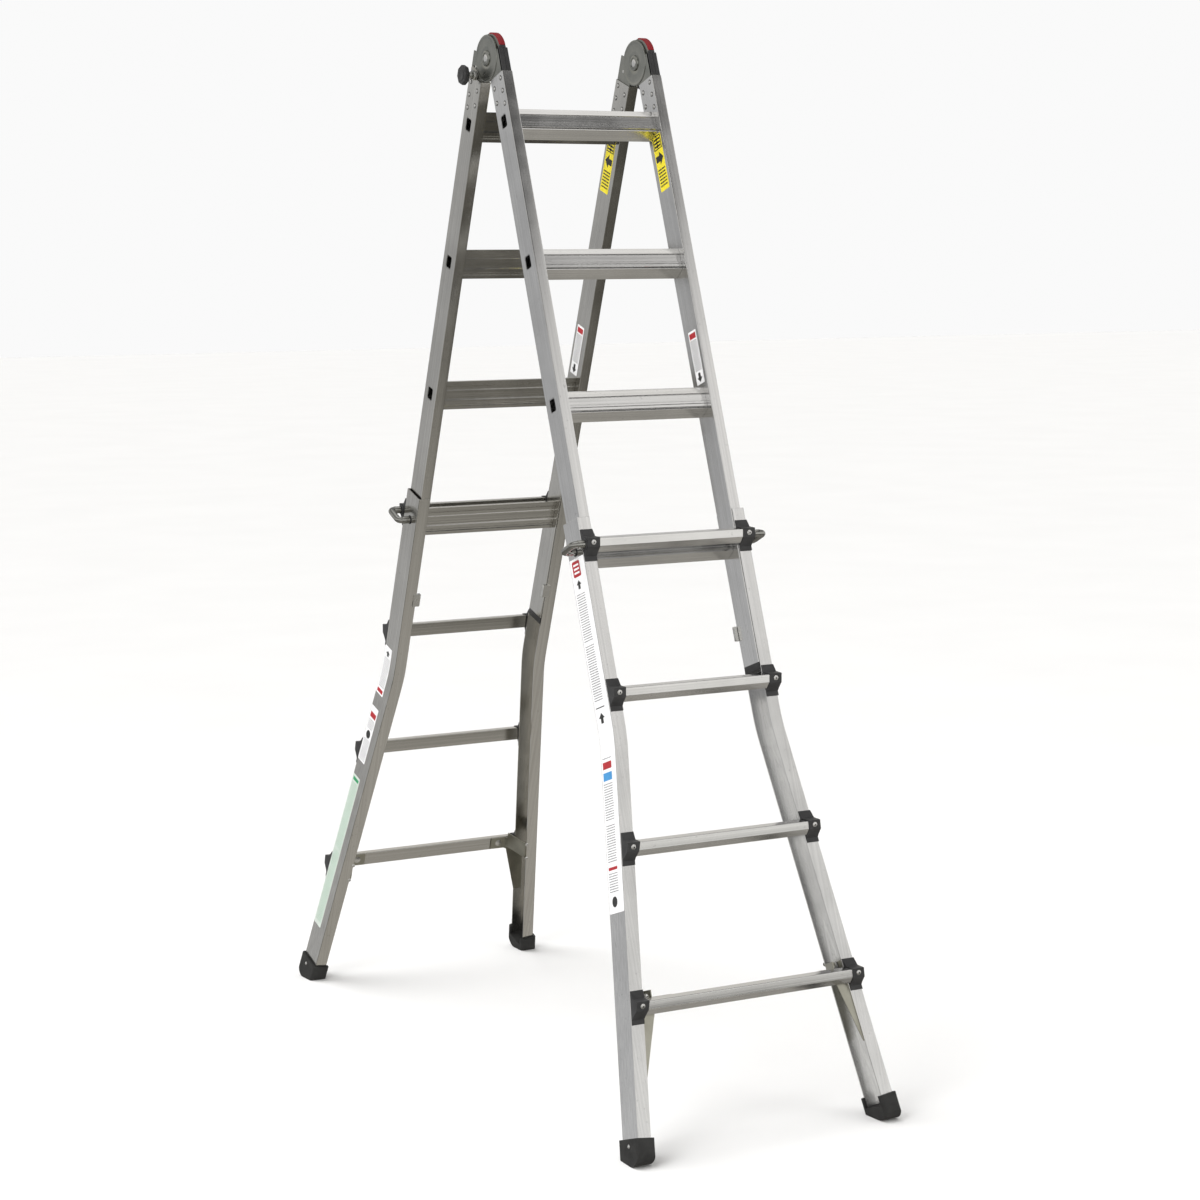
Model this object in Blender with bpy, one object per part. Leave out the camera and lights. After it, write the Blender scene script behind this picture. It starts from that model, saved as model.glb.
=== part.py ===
"""Multi position ladder, standing as an A-frame with both outer sections fully drawn out.

Metres, +Z up, X along the rungs, the front half towards -Y, the floor at Z = 0. Each half is modelled
flat in its own frame, whose origin is the hinge axis: X across, Y out to the climbing side, Z up the
rails. An empty for each half then leans that frame. "Depth" is a place down the rails, so z = -depth.
"""

import math

import bmesh
import bpy
from mathutils import Matrix, Vector

# Stance
HINGE_HEIGHT = 2.126
LEAN = math.radians(19.62)
PITCH = 0.3048
LEVELS = 4
GAP = 0.0003

# Inner rails: rectangular tube
INNER_OUT = 0.189
INNER_WIDTH = 0.024
INNER_BACK = 0.0040
INNER_FRONT = 0.0628
INNER_WALL = 0.002
INNER_TOP_DEPTH = 0.053
INNER_END_DEPTH = 1.330

# Rungs: fluted tube with a spigot at each end, let through both walls of the rail
RUNG_1_DEPTH = 0.1528
RUNG_CENTRE_Y = (INNER_BACK + INNER_FRONT) / 2
SPIGOT_DEEP = 0.0240
SPIGOT_TALL = 0.0290
SOCKET_WALL = 0.0013

# Outer rails: channel that opens inwards, bent outwards below the second step
OUTER_OUT = 0.195
OUTER_WIDTH = 0.028
OUTER_BACK = 0.0008
OUTER_FRONT = 0.0660
OUTER_WALL = 0.0025
OUTER_TOP_DEPTH = 1.004
BEND_START_DEPTH = 1.4208
BEND_HALF_LENGTH = 0.028
FLARE = math.radians(7.24)
BEND_SPANS = 6
LEG_END_DEPTH = 2.240

# Steps: level treads held in front of the outer rails
STEP_1_DEPTH = 1.0628
STEP_FACE_Y = 0.0905
TREAD_DEEP = 0.0245
FACE_TALL = 0.0165
CHAMFER_BACK = 0.0100
CHAMFER_DROP = 0.0136
STEP_DROP = FACE_TALL / 2 + CHAMFER_DROP
STEP_WALL = 0.0018
STEP_INSET = 0.006

# Step end brackets
BRACKET_HALF_TALL = 0.0325
BRACKET_SKIN = 0.0014
BRACKET_END_WALL = 0.003
PLATE_FRONT = 0.0690
POCKET_EASE = 1.035
LEDGE_OUT = 0.0067
LEDGE_DROP = 0.0162
WEDGE_FOOT = 0.72

# Rung locks
LOCK_DEPTH = RUNG_1_DEPTH + (LEVELS - 1) * PITCH
GUIDE_LEVEL = (-0.0102, -0.0040)
GUIDE_RADIUS = 0.0060
PIN_RADIUS = 0.0062
LOCK_CLEARANCE = 0.0008
GUIDE_START = 0.150
COLLAR_START = 0.1957
COLLAR_RADIUS = 0.0081
INTO_ARM = 0.001
LOCK_ARM_START = 0.2155
LOCK_ARM_END = 0.2298
LOCK_ARM_RADIUS = 0.0073

# Hinges
ARM_RADIUS = 0.0465
PLATE_RADIUS = 0.0485
SWING_CLEARANCE = 0.0020
CORE_START = 0.1704
CORE_END = 0.1836
PLATE_EASE = 0.0004
ARM_START = INNER_OUT - INNER_WIDTH + INNER_WALL + GAP
ARM_END = INNER_OUT - INNER_WALL - GAP
PLATE_START = CORE_END + PLATE_EASE
INNER_PLATE_END = CORE_START - PLATE_EASE
SHANK_BACK = INNER_BACK + INNER_WALL + GAP
SHANK_FRONT = INNER_FRONT - INNER_WALL - GAP
SHANK_END_DEPTH = 0.125
BOLT_RADIUS = 0.0060
BOLT_HEAD_RADIUS = 0.0090
BOLT_HEAD_TALL = 0.0032
KNOB_DEPTH = 0.0475
KNOB_Y = 0.0385
KNOB_ACROSS = 0.039
KNOB_START = 0.2085
KNOB_END = 0.2200
KNOB_RIM = 0.002
STEM_RADIUS = 0.0050
BARREL_RADIUS = 0.0082
BARREL_END = 0.1975
BARREL_EASE = 0.001

# Knee braces
BRACE_SHEET = 0.0022
STRUT_TALL = 0.038
STRUT_DROP = 0.008
STRUT_BACK_IN = 0.009
GUSSET_DROP = 0.006
GUSSET_REACH = 0.0245
GUSSET_WEB_GAP = 0.008
GUSSET_FOOT = 0.001
GUSSET_TALL = 0.128
TAB_LONG = 0.041
TAB_TALL = 0.030
TAB_DROP = 0.008
TAB_JOGGLE = 0.005

# Feet
FOOT_WALL = 0.0060
FOOT_TALL_IN = 0.0205
FOOT_CORNER = 0.007
TOE_RADIUS = 0.026
BELOW_FLOOR = -3.0

FINE = 24
COARSE = 4
PAST = 0.01
THROUGH_RAIL = (0.15, 0.20)


# Outlines, as lists of two-number points

def circle(radius, centre=(0.0, 0.0), sides=FINE, turned=0.0):
    """Points round a circle."""
    angles = [turned + math.tau * i / sides for i in range(sides)]
    return [(centre[0] + radius * math.cos(a), centre[1] + radius * math.sin(a)) for a in angles]


def rounded(corners, radius, spans=COARSE):
    """The outline with each corner replaced by an arc."""
    points = []
    count = len(corners)
    for i, corner in enumerate(corners):
        here = Vector(corner)
        before = (Vector(corners[i - 1]) - here).normalized()
        after = (Vector(corners[(i + 1) % count]) - here).normalized()
        half = before.angle(after) / 2
        centre = here + (before + after).normalized() * (radius / math.sin(half))
        start = here + before * (radius / math.tan(half)) - centre
        turn = start.angle_signed(here + after * (radius / math.tan(half)) - centre)
        for k in range(spans + 1):
            points.append(tuple(centre + Matrix.Rotation(-turn * k / spans, 2) @ start))
    return points


def box_outline(low, high):
    """A rectangle between two corners."""
    return [(low[0], low[1]), (high[0], low[1]), (high[0], high[1]), (low[0], high[1])]


def level(out, up):
    """A point given outwards and upwards in the standing ladder, as (y, z) in the leaning half."""
    return (out * math.cos(LEAN) + up * math.sin(LEAN), up * math.cos(LEAN) - out * math.sin(LEAN))


# Solids, as meshes

def finished(bm):
    """The bmesh as a mesh whose faces point outwards."""
    bmesh.ops.recalc_face_normals(bm, faces=bm.faces)
    mesh = bpy.data.meshes.new("shape")
    bm.to_mesh(mesh)
    bm.free()
    return mesh


def lofted(loops):
    """A solid through a row of loops with the same number of points."""
    bm = bmesh.new()
    rows = [[bm.verts.new(point) for point in loop] for loop in loops]
    bm.faces.new(rows[0])
    bm.faces.new(rows[-1])
    for first, second in zip(rows, rows[1:]):
        for i in range(len(first)):
            bm.faces.new((first[i - 1], first[i], second[i], second[i - 1]))
    return finished(bm)


def along_x(outline, start, end):
    """A prism along X on a (y, z) outline."""
    return lofted([[(x, y, z) for y, z in outline] for x in (start, end)])


def along_y(outline, start, end):
    """A prism along Y on an (x, z) outline."""
    return lofted([[(x, y, z) for x, z in outline] for y in (start, end)])


def along_z(outline, start, end):
    """A prism along Z on an (x, y) outline."""
    return lofted([[(x, y, z) for x, y in outline] for z in (start, end)])


def mirrored(mesh, side):
    """The mesh itself for side 1, and its mirror image in X for side -1."""
    if side < 0:
        mesh.transform(Matrix.Scale(-1, 4, (1, 0, 0)))
        mesh.flip_normals()
    return mesh


def combined(base, added=(), removed=()):
    """One mesh: the base with some meshes joined on, and then others cut away."""
    target = bpy.data.objects.new("target", base)
    used = [target]
    for operation, meshes in (("UNION", added), ("DIFFERENCE", removed)):
        for mesh in meshes:
            tool = bpy.data.objects.new("tool", mesh)
            modifier = target.modifiers.new(operation, "BOOLEAN")
            modifier.operation = operation
            modifier.object = tool
            used.append(tool)
    for item in used:
        bpy.context.scene.collection.objects.link(item)
    graph = bpy.context.evaluated_depsgraph_get()
    result = bpy.data.meshes.new_from_object(target.evaluated_get(graph))
    for item in used:
        bpy.data.objects.remove(item)
    return result


# Materials and objects

def material(name, colour, roughness, metallic=0.0):
    """A plain Principled material."""
    made = bpy.data.materials.new(name)
    made.use_nodes = True
    shader = made.node_tree.nodes["Principled BSDF"]
    shader.inputs["Base Color"].default_value = (*colour, 1.0)
    shader.inputs["Roughness"].default_value = roughness
    shader.inputs["Metallic"].default_value = metallic
    return made


def half_frame(name, turn):
    """The empty that leans one half about the hinge axis."""
    frame = bpy.data.objects.new(name, None)
    frame.location = (0, 0, HINGE_HEIGHT)
    frame.rotation_euler = (Matrix.Rotation(turn, 3, "Z") @ Matrix.Rotation(LEAN, 3, "X")).to_euler()
    bpy.context.scene.collection.objects.link(frame)
    return frame


def place(name, mesh, finish, half, at=(0, 0, 0)):
    """An object of the mesh in one half, with its own copy of the finish."""
    item = bpy.data.objects.new(name, mesh)
    if not mesh.materials:
        mesh.materials.append(finish)
        mesh.shade_smooth()
        mesh.set_sharp_from_angle(angle=math.radians(35))
    item.parent = half
    item.location = at
    bpy.context.scene.collection.objects.link(item)
    return item


# Inner section

def socket_outline(deep, tall, centre_z):
    """A rung end opening in the side of a rail."""
    low = (RUNG_CENTRE_Y - deep / 2, centre_z - tall / 2)
    high = (RUNG_CENTRE_Y + deep / 2, centre_z + tall / 2)
    return rounded(box_outline(low, high), 0.005, 3)


def inner_rail_mesh(barrelled):
    """A rectangular tube, let out for the rungs and, where the hinge lock is, for its barrel."""
    low = (INNER_OUT - INNER_WIDTH, INNER_BACK)
    high = (INNER_OUT, INNER_FRONT)
    outside = along_z(rounded(box_outline(low, high), 0.002, 2), -INNER_END_DEPTH, -INNER_TOP_DEPTH)
    low = (low[0] + INNER_WALL, low[1] + INNER_WALL)
    high = (high[0] - INNER_WALL, high[1] - INNER_WALL)
    hollow = along_z(box_outline(low, high), -INNER_END_DEPTH - PAST, -INNER_TOP_DEPTH + PAST)
    cuts = [hollow]
    if barrelled:
        clear_of_barrel = circle(BARREL_RADIUS + BARREL_EASE, (KNOB_Y, -KNOB_DEPTH))
        cuts.append(along_x(clear_of_barrel, CORE_END, THROUGH_RAIL[1]))
    for k in range(LEVELS):
        outline = socket_outline(SPIGOT_DEEP + 2 * GAP, SPIGOT_TALL + 2 * GAP, -RUNG_1_DEPTH - k * PITCH)
        cuts.append(along_x(outline, *THROUGH_RAIL))
    return combined(outside, removed=cuts)


def rung_outline():
    """The fluted outline: a level tread, a grooved front, a sloped underside and a grooved back."""
    front = [
        (0.0085, 0.0245),
        (0.0142, 0.0118),
        (0.0142, 0.0106),
        (0.0121, 0.0092),
        (0.0121, -0.0044),
        (0.0142, -0.0058),
        (0.0142, -0.0098),
        (0.0130, -0.0106),
        (0.0142, -0.0114),
        (0.0142, -0.0160),
        (0.0124, -0.0172),
        (0.0124, -0.0190),
        (0.0132, -0.0212),
    ]
    back = [
        (-0.0148, -0.0335),
        (-0.0148, -0.0262),
        (-0.0128, -0.0245),
        (-0.0128, -0.0215),
        (-0.0150, -0.0190),
        (-0.0150, -0.0122),
        (-0.0126, -0.0095),
        (-0.0126, -0.0075),
        (-0.0138, -0.0060),
        (-0.0138, 0.0110),
        (-0.0125, 0.0125),
        (-0.0125, 0.0195),
        (-0.0150, 0.0225),
        (-0.0150, 0.0325),
    ]
    return front + back


def rung_hollows():
    """The three hollows that run right through a rung: spigot, upper and lower."""
    half = (SPIGOT_DEEP / 2 - SOCKET_WALL, SPIGOT_TALL / 2 - SOCKET_WALL)
    middle = rounded(box_outline((-half[0], -half[1]), half), 0.004, 3)
    upper = [(-0.0107, 0.0150), (0.0105, 0.0150), (0.0075, 0.0225), (-0.0107, 0.0290)]
    lower = [(-0.0110, -0.0150), (0.0105, -0.0150), (0.0105, -0.0204), (-0.0110, -0.0302)]
    return [middle, upper, lower]


def rung_mesh():
    """A rung about its own centre, with its spigots."""
    reach = INNER_OUT - INNER_WIDTH - GAP
    body = along_x(rung_outline(), -reach, reach)
    half = (SPIGOT_DEEP / 2, SPIGOT_TALL / 2)
    spigot = rounded(box_outline((-half[0], -half[1]), half), 0.005, 3)
    end = INNER_OUT - GAP
    hollows = [along_x(outline, -INNER_OUT - PAST, INNER_OUT + PAST) for outline in rung_hollows()]
    return combined(body, [along_x(spigot, -end, end)], hollows)


def add_inner_section(prefix, half, aluminium):
    """Two rails and four rungs."""
    rung = rung_mesh()
    for label, side in sides_of(prefix):
        rail = mirrored(inner_rail_mesh(barrelled=prefix == "back"), side)
        place(f"{prefix}_inner_rail_{label}", rail, aluminium, half)
    for k in range(LEVELS):
        at = (0, RUNG_CENTRE_Y, -RUNG_1_DEPTH - k * PITCH)
        place(f"{prefix}_rung_{k + 1}", rung, aluminium, half, at)


# Outer section

def flare_at(depth):
    """How far the outer rail stands out at a depth below the bend."""
    return max(0.0, depth - BEND_START_DEPTH - BEND_HALF_LENGTH) * math.tan(FLARE)


def leg_stations(start_depth, end_depth):
    """(shift, depth, tilt) down the outer rail: straight, an arc, then straight again."""
    radius = BEND_HALF_LENGTH / math.tan(FLARE / 2)
    stations = [(0.0, start_depth, 0.0)]
    for i in range(BEND_SPANS + 1):
        tilt = FLARE * i / BEND_SPANS
        shift = radius * (1 - math.cos(tilt))
        stations.append((shift, BEND_START_DEPTH + radius * math.sin(tilt), tilt))
    stations.append((flare_at(end_depth), end_depth, FLARE))
    return stations


def leg_loop(outline, station):
    """An (x, y) outline set square to the leg at one station. It turns about the outer face."""
    shift, depth, tilt = station
    loop = []
    for x, y in outline:
        inwards = OUTER_OUT - x
        loop.append((OUTER_OUT + shift - inwards * math.cos(tilt), y, -depth - inwards * math.sin(tilt)))
    return loop


def channel_outline():
    """The outer rail's section, open towards the middle of the ladder."""
    inside = OUTER_OUT - OUTER_WIDTH
    web = OUTER_OUT - OUTER_WALL
    return [
        (inside, OUTER_BACK),
        *rounded_corner((OUTER_OUT, OUTER_BACK), (-1, 1)),
        *rounded_corner((OUTER_OUT, OUTER_FRONT), (-1, -1))[::-1],
        (inside, OUTER_FRONT),
        (inside, OUTER_FRONT - OUTER_WALL),
        (web, OUTER_FRONT - OUTER_WALL),
        (web, OUTER_BACK + OUTER_WALL),
        (inside, OUTER_BACK + OUTER_WALL),
    ]


def rounded_corner(corner, inwards, radius=0.002, spans=3):
    """An arc at a square corner, from the side along x round to the side along y."""
    centre = (corner[0] + inwards[0] * radius, corner[1] + inwards[1] * radius)
    points = []
    for i in range(spans + 1):
        angle = math.pi / 2 * i / spans
        x = centre[0] - inwards[0] * radius * math.sin(angle)
        points.append((x, centre[1] - inwards[1] * radius * math.cos(angle)))
    return points


def outer_rail_mesh():
    """The bent channel, with the hole that the rung lock's pin passes through."""
    outline = channel_outline()
    rail = lofted([leg_loop(outline, s) for s in leg_stations(OUTER_TOP_DEPTH, LEG_END_DEPTH)])
    hole = circle(PIN_RADIUS + LOCK_CLEARANCE, (RUNG_CENTRE_Y, -LOCK_DEPTH))
    return combined(rail, removed=[along_x(hole, INNER_OUT, THROUGH_RAIL[1])])


def step_outline(skin=0.0):
    """The step's section about its front face: level tread, upright face, chamfer and back."""
    back = STEP_FACE_Y - PLATE_FRONT - GAP
    bottom_back = (back - STEP_DROP * math.sin(LEAN)) / math.cos(LEAN)
    corners = [
        (-TREAD_DEEP + skin, FACE_TALL / 2 - skin),
        (-skin, FACE_TALL / 2 - skin),
        (-skin, -FACE_TALL / 2 + skin / 2),
        (-CHAMFER_BACK - skin / 2, -STEP_DROP + skin),
        (-bottom_back + skin, -STEP_DROP + skin),
    ]
    return [level(out, up) for out, up in corners]


def step_mesh(reach):
    """A hollow step that reaches this far each way from the middle."""
    tube = along_x(rounded(step_outline(), 0.0015, 2), -reach, reach)
    return combined(tube, removed=[along_x(step_outline(STEP_WALL), -reach - PAST, reach + PAST)])


def bracket_outline():
    """The moulded bracket's side view: a flange with a wedge that wraps the step."""
    top = level(BRACKET_SKIN, FACE_TALL / 2 + BRACKET_SKIN)
    low = level(BRACKET_SKIN, -FACE_TALL / 2 - BRACKET_SKIN / 2)
    tail = level(-CHAMFER_BACK + BRACKET_SKIN / 2, -STEP_DROP - BRACKET_SKIN)
    flange_back = OUTER_FRONT + GAP - STEP_FACE_Y
    flange_front = PLATE_FRONT - STEP_FACE_Y
    return [
        (flange_back, BRACKET_HALF_TALL),
        (flange_front, BRACKET_HALF_TALL),
        (flange_front + LEDGE_OUT, BRACKET_HALF_TALL - LEDGE_DROP),
        top,
        low,
        tail,
        (flange_front, -BRACKET_HALF_TALL * WEDGE_FOOT),
        (flange_front, -BRACKET_HALF_TALL),
        (flange_back, -BRACKET_HALF_TALL),
    ]


def bracket_mesh(slope, guided):
    """A step end bracket about the step's face, its sides sloped with the rail that it is screwed to."""
    outer = OUTER_OUT
    inner = outer - OUTER_WIDTH + GAP
    body = along_x(bracket_outline(), inner, outer)
    pocket = along_x([scaled_out(point) for point in step_outline()], inner - PAST, outer - BRACKET_END_WALL)
    removed = [pocket]
    if guided:
        hole = circle(GUIDE_RADIUS + LOCK_CLEARANCE, level(*GUIDE_LEVEL))
        removed.append(along_x(hole, inner - PAST, outer + PAST))
    made = combined(body, removed=removed)
    for vertex in made.vertices:
        vertex.co.x -= vertex.co.z * slope
    return made


def scaled_out(point):
    """A point of the step's outline moved a little way out, for the pocket that holds the step."""
    middle = Vector(level(-TREAD_DEEP / 2, -CHAMFER_DROP / 2))
    away = Vector(point) - middle
    return tuple(middle + away * POCKET_EASE)


def brace_mesh():
    """Sheet brace under the bottom step: gusset, strut to the back flange, and tab behind the step."""
    depth = STEP_1_DEPTH + (LEVELS - 1) * PITCH
    outer = OUTER_OUT + flare_at(depth)
    edge = outer - OUTER_WIDTH
    inner = edge - GUSSET_REACH
    front = OUTER_FRONT - OUTER_WALL - GAP
    back = OUTER_BACK + OUTER_WALL + GAP
    gusset_top = -depth - GUSSET_DROP
    gusset_bottom = gusset_top - GUSSET_TALL
    spread = math.tan(FLARE) * GUSSET_TALL
    gusset_outline = [
        (inner, gusset_top),
        (outer - GUSSET_WEB_GAP, gusset_top),
        (outer - GUSSET_WEB_GAP + spread, gusset_bottom),
        (edge - GUSSET_FOOT + spread, gusset_bottom),
        (inner, gusset_top - GUSSET_WEB_GAP),
    ]
    gusset = along_y(gusset_outline, front - BRACE_SHEET, front)
    strut_outline = [
        (inner, front),
        (inner, front - BRACE_SHEET),
        (edge - 2 * BRACE_SHEET, back),
        (outer - STRUT_BACK_IN, back),
        (outer - STRUT_BACK_IN, back + BRACE_SHEET),
        (edge - BRACE_SHEET, back + BRACE_SHEET),
        (inner + BRACE_SHEET, front - BRACE_SHEET / 2),
        (inner + BRACE_SHEET, front),
    ]
    strut = along_z(strut_outline, -depth - STRUT_DROP, -depth - STRUT_DROP + STRUT_TALL)
    tab_outline = [
        (inner - TAB_LONG, PLATE_FRONT),
        (inner - TAB_LONG, PLATE_FRONT - BRACE_SHEET),
        (inner - TAB_JOGGLE, PLATE_FRONT - BRACE_SHEET),
        (inner, front - BRACE_SHEET),
        (inner + BRACE_SHEET, front - BRACE_SHEET),
        (inner + BRACE_SHEET, front),
        (inner - TAB_JOGGLE + GAP, PLATE_FRONT),
    ]
    tab = along_z(tab_outline, gusset_top - TAB_DROP, gusset_top - TAB_DROP + TAB_TALL)
    return combined(gusset, [strut, tab])


def ground_z(y):
    """The floor's height in the leaning half, at a distance from the hinge line."""
    return -(HINGE_HEIGHT + y * math.sin(LEAN)) / math.cos(LEAN)


def floor_outline():
    """The floor under the boot and the space in front of its round toe, as a (y, z) outline."""
    toe = OUTER_FRONT + FOOT_WALL + GAP
    behind = OUTER_BACK - OUTER_FRONT
    beyond = OUTER_FRONT - OUTER_BACK + toe
    heel_side = (behind, ground_z(behind))
    corner = (toe, ground_z(toe))
    above = (toe, corner[1] + toe)
    spans = 2 * COARSE
    arc = rounded([heel_side, corner, above], TOE_RADIUS, spans)[spans + 1:2 * (spans + 1)]
    return [heel_side, *arc, (beyond, arc[-1][1]), (beyond, BELOW_FLOOR), (behind, BELOW_FLOOR)]


def foot_mesh():
    """A rubber boot over the leg's end, its sole flat on the floor and its inner side open."""
    wall = FOOT_WALL + GAP
    low = (OUTER_OUT - OUTER_WIDTH - wall, OUTER_BACK - wall)
    high = (OUTER_OUT + wall, OUTER_FRONT + wall)
    top = LEG_END_DEPTH - FOOT_TALL_IN
    stations = [(flare_at(depth), depth, FLARE) for depth in (top, top + 0.12)]
    outside = rounded(box_outline(low, high), FOOT_CORNER)
    boot = lofted([leg_loop(outside, s) for s in stations])
    pocket_low = (OUTER_OUT - OUTER_WIDTH - GAP, OUTER_BACK - GAP)
    pocket_high = (OUTER_OUT + GAP, OUTER_FRONT + GAP)
    ends = (top - PAST, LEG_END_DEPTH + GAP)
    pocket_stations = [(flare_at(depth), depth, FLARE) for depth in ends]
    pocket = lofted([leg_loop(box_outline(pocket_low, pocket_high), s) for s in pocket_stations])
    mouth_low = (low[0] - PAST, OUTER_BACK + 2 * OUTER_WALL)
    mouth_high = (OUTER_OUT - OUTER_WIDTH / 2, OUTER_FRONT - 2 * OUTER_WALL)
    mouth = lofted([leg_loop(box_outline(mouth_low, mouth_high), s) for s in pocket_stations])
    outer = OUTER_OUT + flare_at(LEG_END_DEPTH)
    floor = along_x(floor_outline(), outer - 2 * OUTER_WIDTH, outer + OUTER_WIDTH)
    return combined(boot, removed=[pocket, mouth, floor])


def add_outer_section(prefix, half, aluminium, plastic, steel, rubber):
    """Two rails, four steps in their end brackets, two braces and two feet."""
    for label, side in sides_of(prefix):
        place(f"{prefix}_outer_rail_{label}", mirrored(outer_rail_mesh(), side), aluminium, half)
        place(f"{prefix}_knee_brace_{label}", mirrored(brace_mesh(), side), steel, half)
        place(f"{prefix}_foot_{label}", mirrored(foot_mesh(), side), rubber, half)
    for k in range(LEVELS):
        depth = STEP_1_DEPTH + k * PITCH
        flare = flare_at(depth)
        slope = math.tan(FLARE) if flare > 0 else 0.0
        step = step_mesh(OUTER_OUT + flare - STEP_INSET)
        place(f"{prefix}_step_{k + 1}", step, aluminium, half, (0, STEP_FACE_Y, -depth))
        for label, side in sides_of(prefix):
            bracket = mirrored(bracket_mesh(slope, guided=k == 0), side)
            at = (side * flare, STEP_FACE_Y, -depth)
            place(f"{prefix}_step_bracket_{k + 1}_{label}", bracket, plastic, half, at)


# Rung locks

def rung_lock_mesh():
    """The J handle about its guide rod's axis: guide rod and lock pin in their collars, and the arm."""
    pin_y = RUNG_CENTRE_Y - STEP_FACE_Y - level(*GUIDE_LEVEL)[0]
    pin_z = STEP_1_DEPTH - LOCK_DEPTH - level(*GUIDE_LEVEL)[1]
    pin_at = (pin_y, pin_z)
    arm = along_x(stadium(LOCK_ARM_RADIUS, pin_at), LOCK_ARM_START, LOCK_ARM_END)
    added = [
        along_x(circle(GUIDE_RADIUS), GUIDE_START, LOCK_ARM_START + INTO_ARM),
        along_x(circle(PIN_RADIUS, pin_at), OUTER_OUT - OUTER_WALL, LOCK_ARM_START + INTO_ARM),
    ]
    for centre in ((0.0, 0.0), pin_at):
        added.append(along_x(circle(COLLAR_RADIUS, centre), COLLAR_START, LOCK_ARM_START + INTO_ARM))
    return combined(arm, added)


def stadium(radius, other):
    """The outline round two equal circles, one at the origin and one at another point."""
    towards = math.atan2(other[1], other[0])
    spans = FINE // 2
    points = []
    for centre, start in (((0.0, 0.0), towards + math.pi / 2), (other, towards - math.pi / 2)):
        for i in range(spans + 1):
            angle = start + math.pi * i / spans
            points.append((centre[0] + radius * math.cos(angle), centre[1] + radius * math.sin(angle)))
    return points


def add_rung_locks(prefix, half, steel):
    """One sprung J handle on each outer rail, level with the top step."""
    y, z = level(*GUIDE_LEVEL)
    for label, side in sides_of(prefix):
        handle = mirrored(rung_lock_mesh(), side)
        place(f"{prefix}_rung_lock_{label}", handle, steel, half, (0, STEP_FACE_Y + y, z - STEP_1_DEPTH))


# Hinges

def arm_outline(radius, shift):
    """A hinge arm's side view: a rounded head that runs straight down into the rail."""
    front = radius + shift
    arc = []
    spans = 2 * COARSE
    for i in range(spans + 1):
        angle = math.pi / 2 * i / spans
        arc.append((shift + radius * math.cos(angle), radius * math.sin(angle)))
    for i in range(3 * spans + 1):
        angle = math.pi / 2 + math.pi * i / (3 * spans)
        arc.append((radius * math.cos(angle), radius * math.sin(angle)))
    meet = (SHANK_BACK, -math.sqrt(radius ** 2 - SHANK_BACK ** 2))
    arc = [point for point in arc if point[0] < SHANK_BACK or point[1] > meet[1]]
    return [(front, -INNER_TOP_DEPTH)] + arc + [meet, (SHANK_BACK, -INNER_TOP_DEPTH)]


def shank():
    """The block of a hinge arm that is riveted inside the rail."""
    outline = box_outline((SHANK_BACK, -SHANK_END_DEPTH), (SHANK_FRONT, GAP - INNER_TOP_DEPTH))
    return along_x(outline, ARM_START, ARM_END)


def front_arm_mesh():
    """The front leg's hinge arm: the thick core that turns between the back leg's two plates."""
    core = along_x(arm_outline(ARM_RADIUS, SHANK_FRONT - ARM_RADIUS), CORE_START, CORE_END)
    bore = along_x(circle(BOLT_RADIUS + GAP), *THROUGH_RAIL)
    return combined(core, [shank()], [bore])


def back_arm_mesh():
    """The back leg's hinge arm: a round plate on each side of the core, a shank, and the lock's barrel."""
    disc = circle(PLATE_RADIUS, sides=2 * FINE)
    side_view = box_outline((SHANK_BACK, -SHANK_END_DEPTH), (SHANK_FRONT, 0.0))
    added = [shank()]
    for start, end in ((ARM_START, INNER_PLATE_END), (PLATE_START, ARM_END)):
        added.append(along_x(disc, start, end))
        added.append(along_x(side_view, start, end))
    knob_at = (KNOB_Y, -KNOB_DEPTH)
    added.append(along_x(circle(BARREL_RADIUS, knob_at), PLATE_START + GAP, BARREL_END))
    removed = [
        along_x(circle(SHANK_FRONT + SWING_CLEARANCE, sides=2 * FINE), INNER_PLATE_END, PLATE_START),
        along_x(circle(BOLT_RADIUS + GAP), *THROUGH_RAIL),
        along_x(circle(STEM_RADIUS + GAP, knob_at), INNER_PLATE_END + GAP, THROUGH_RAIL[1]),
    ]
    return combined(added[0], added[1:], removed)


def pivot_mesh():
    """The hinge bolt: a shank between two domed heads."""
    profile = [
        (ARM_START - GAP - BOLT_HEAD_TALL, BOLT_HEAD_RADIUS * 0.6),
        (ARM_START - GAP - BOLT_HEAD_TALL * 0.7, BOLT_HEAD_RADIUS * 0.9),
        (ARM_START - GAP - BOLT_HEAD_TALL * 0.3, BOLT_HEAD_RADIUS),
        (ARM_START - GAP, BOLT_HEAD_RADIUS),
        (ARM_START - GAP, BOLT_RADIUS),
        (ARM_END + GAP, BOLT_RADIUS),
        (ARM_END + GAP, BOLT_HEAD_RADIUS),
        (ARM_END + GAP + BOLT_HEAD_TALL * 0.3, BOLT_HEAD_RADIUS),
        (ARM_END + GAP + BOLT_HEAD_TALL * 0.7, BOLT_HEAD_RADIUS * 0.9),
        (ARM_END + GAP + BOLT_HEAD_TALL, BOLT_HEAD_RADIUS * 0.6),
    ]
    return lofted([[(x, y, z) for y, z in circle(radius)] for x, radius in profile])


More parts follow.
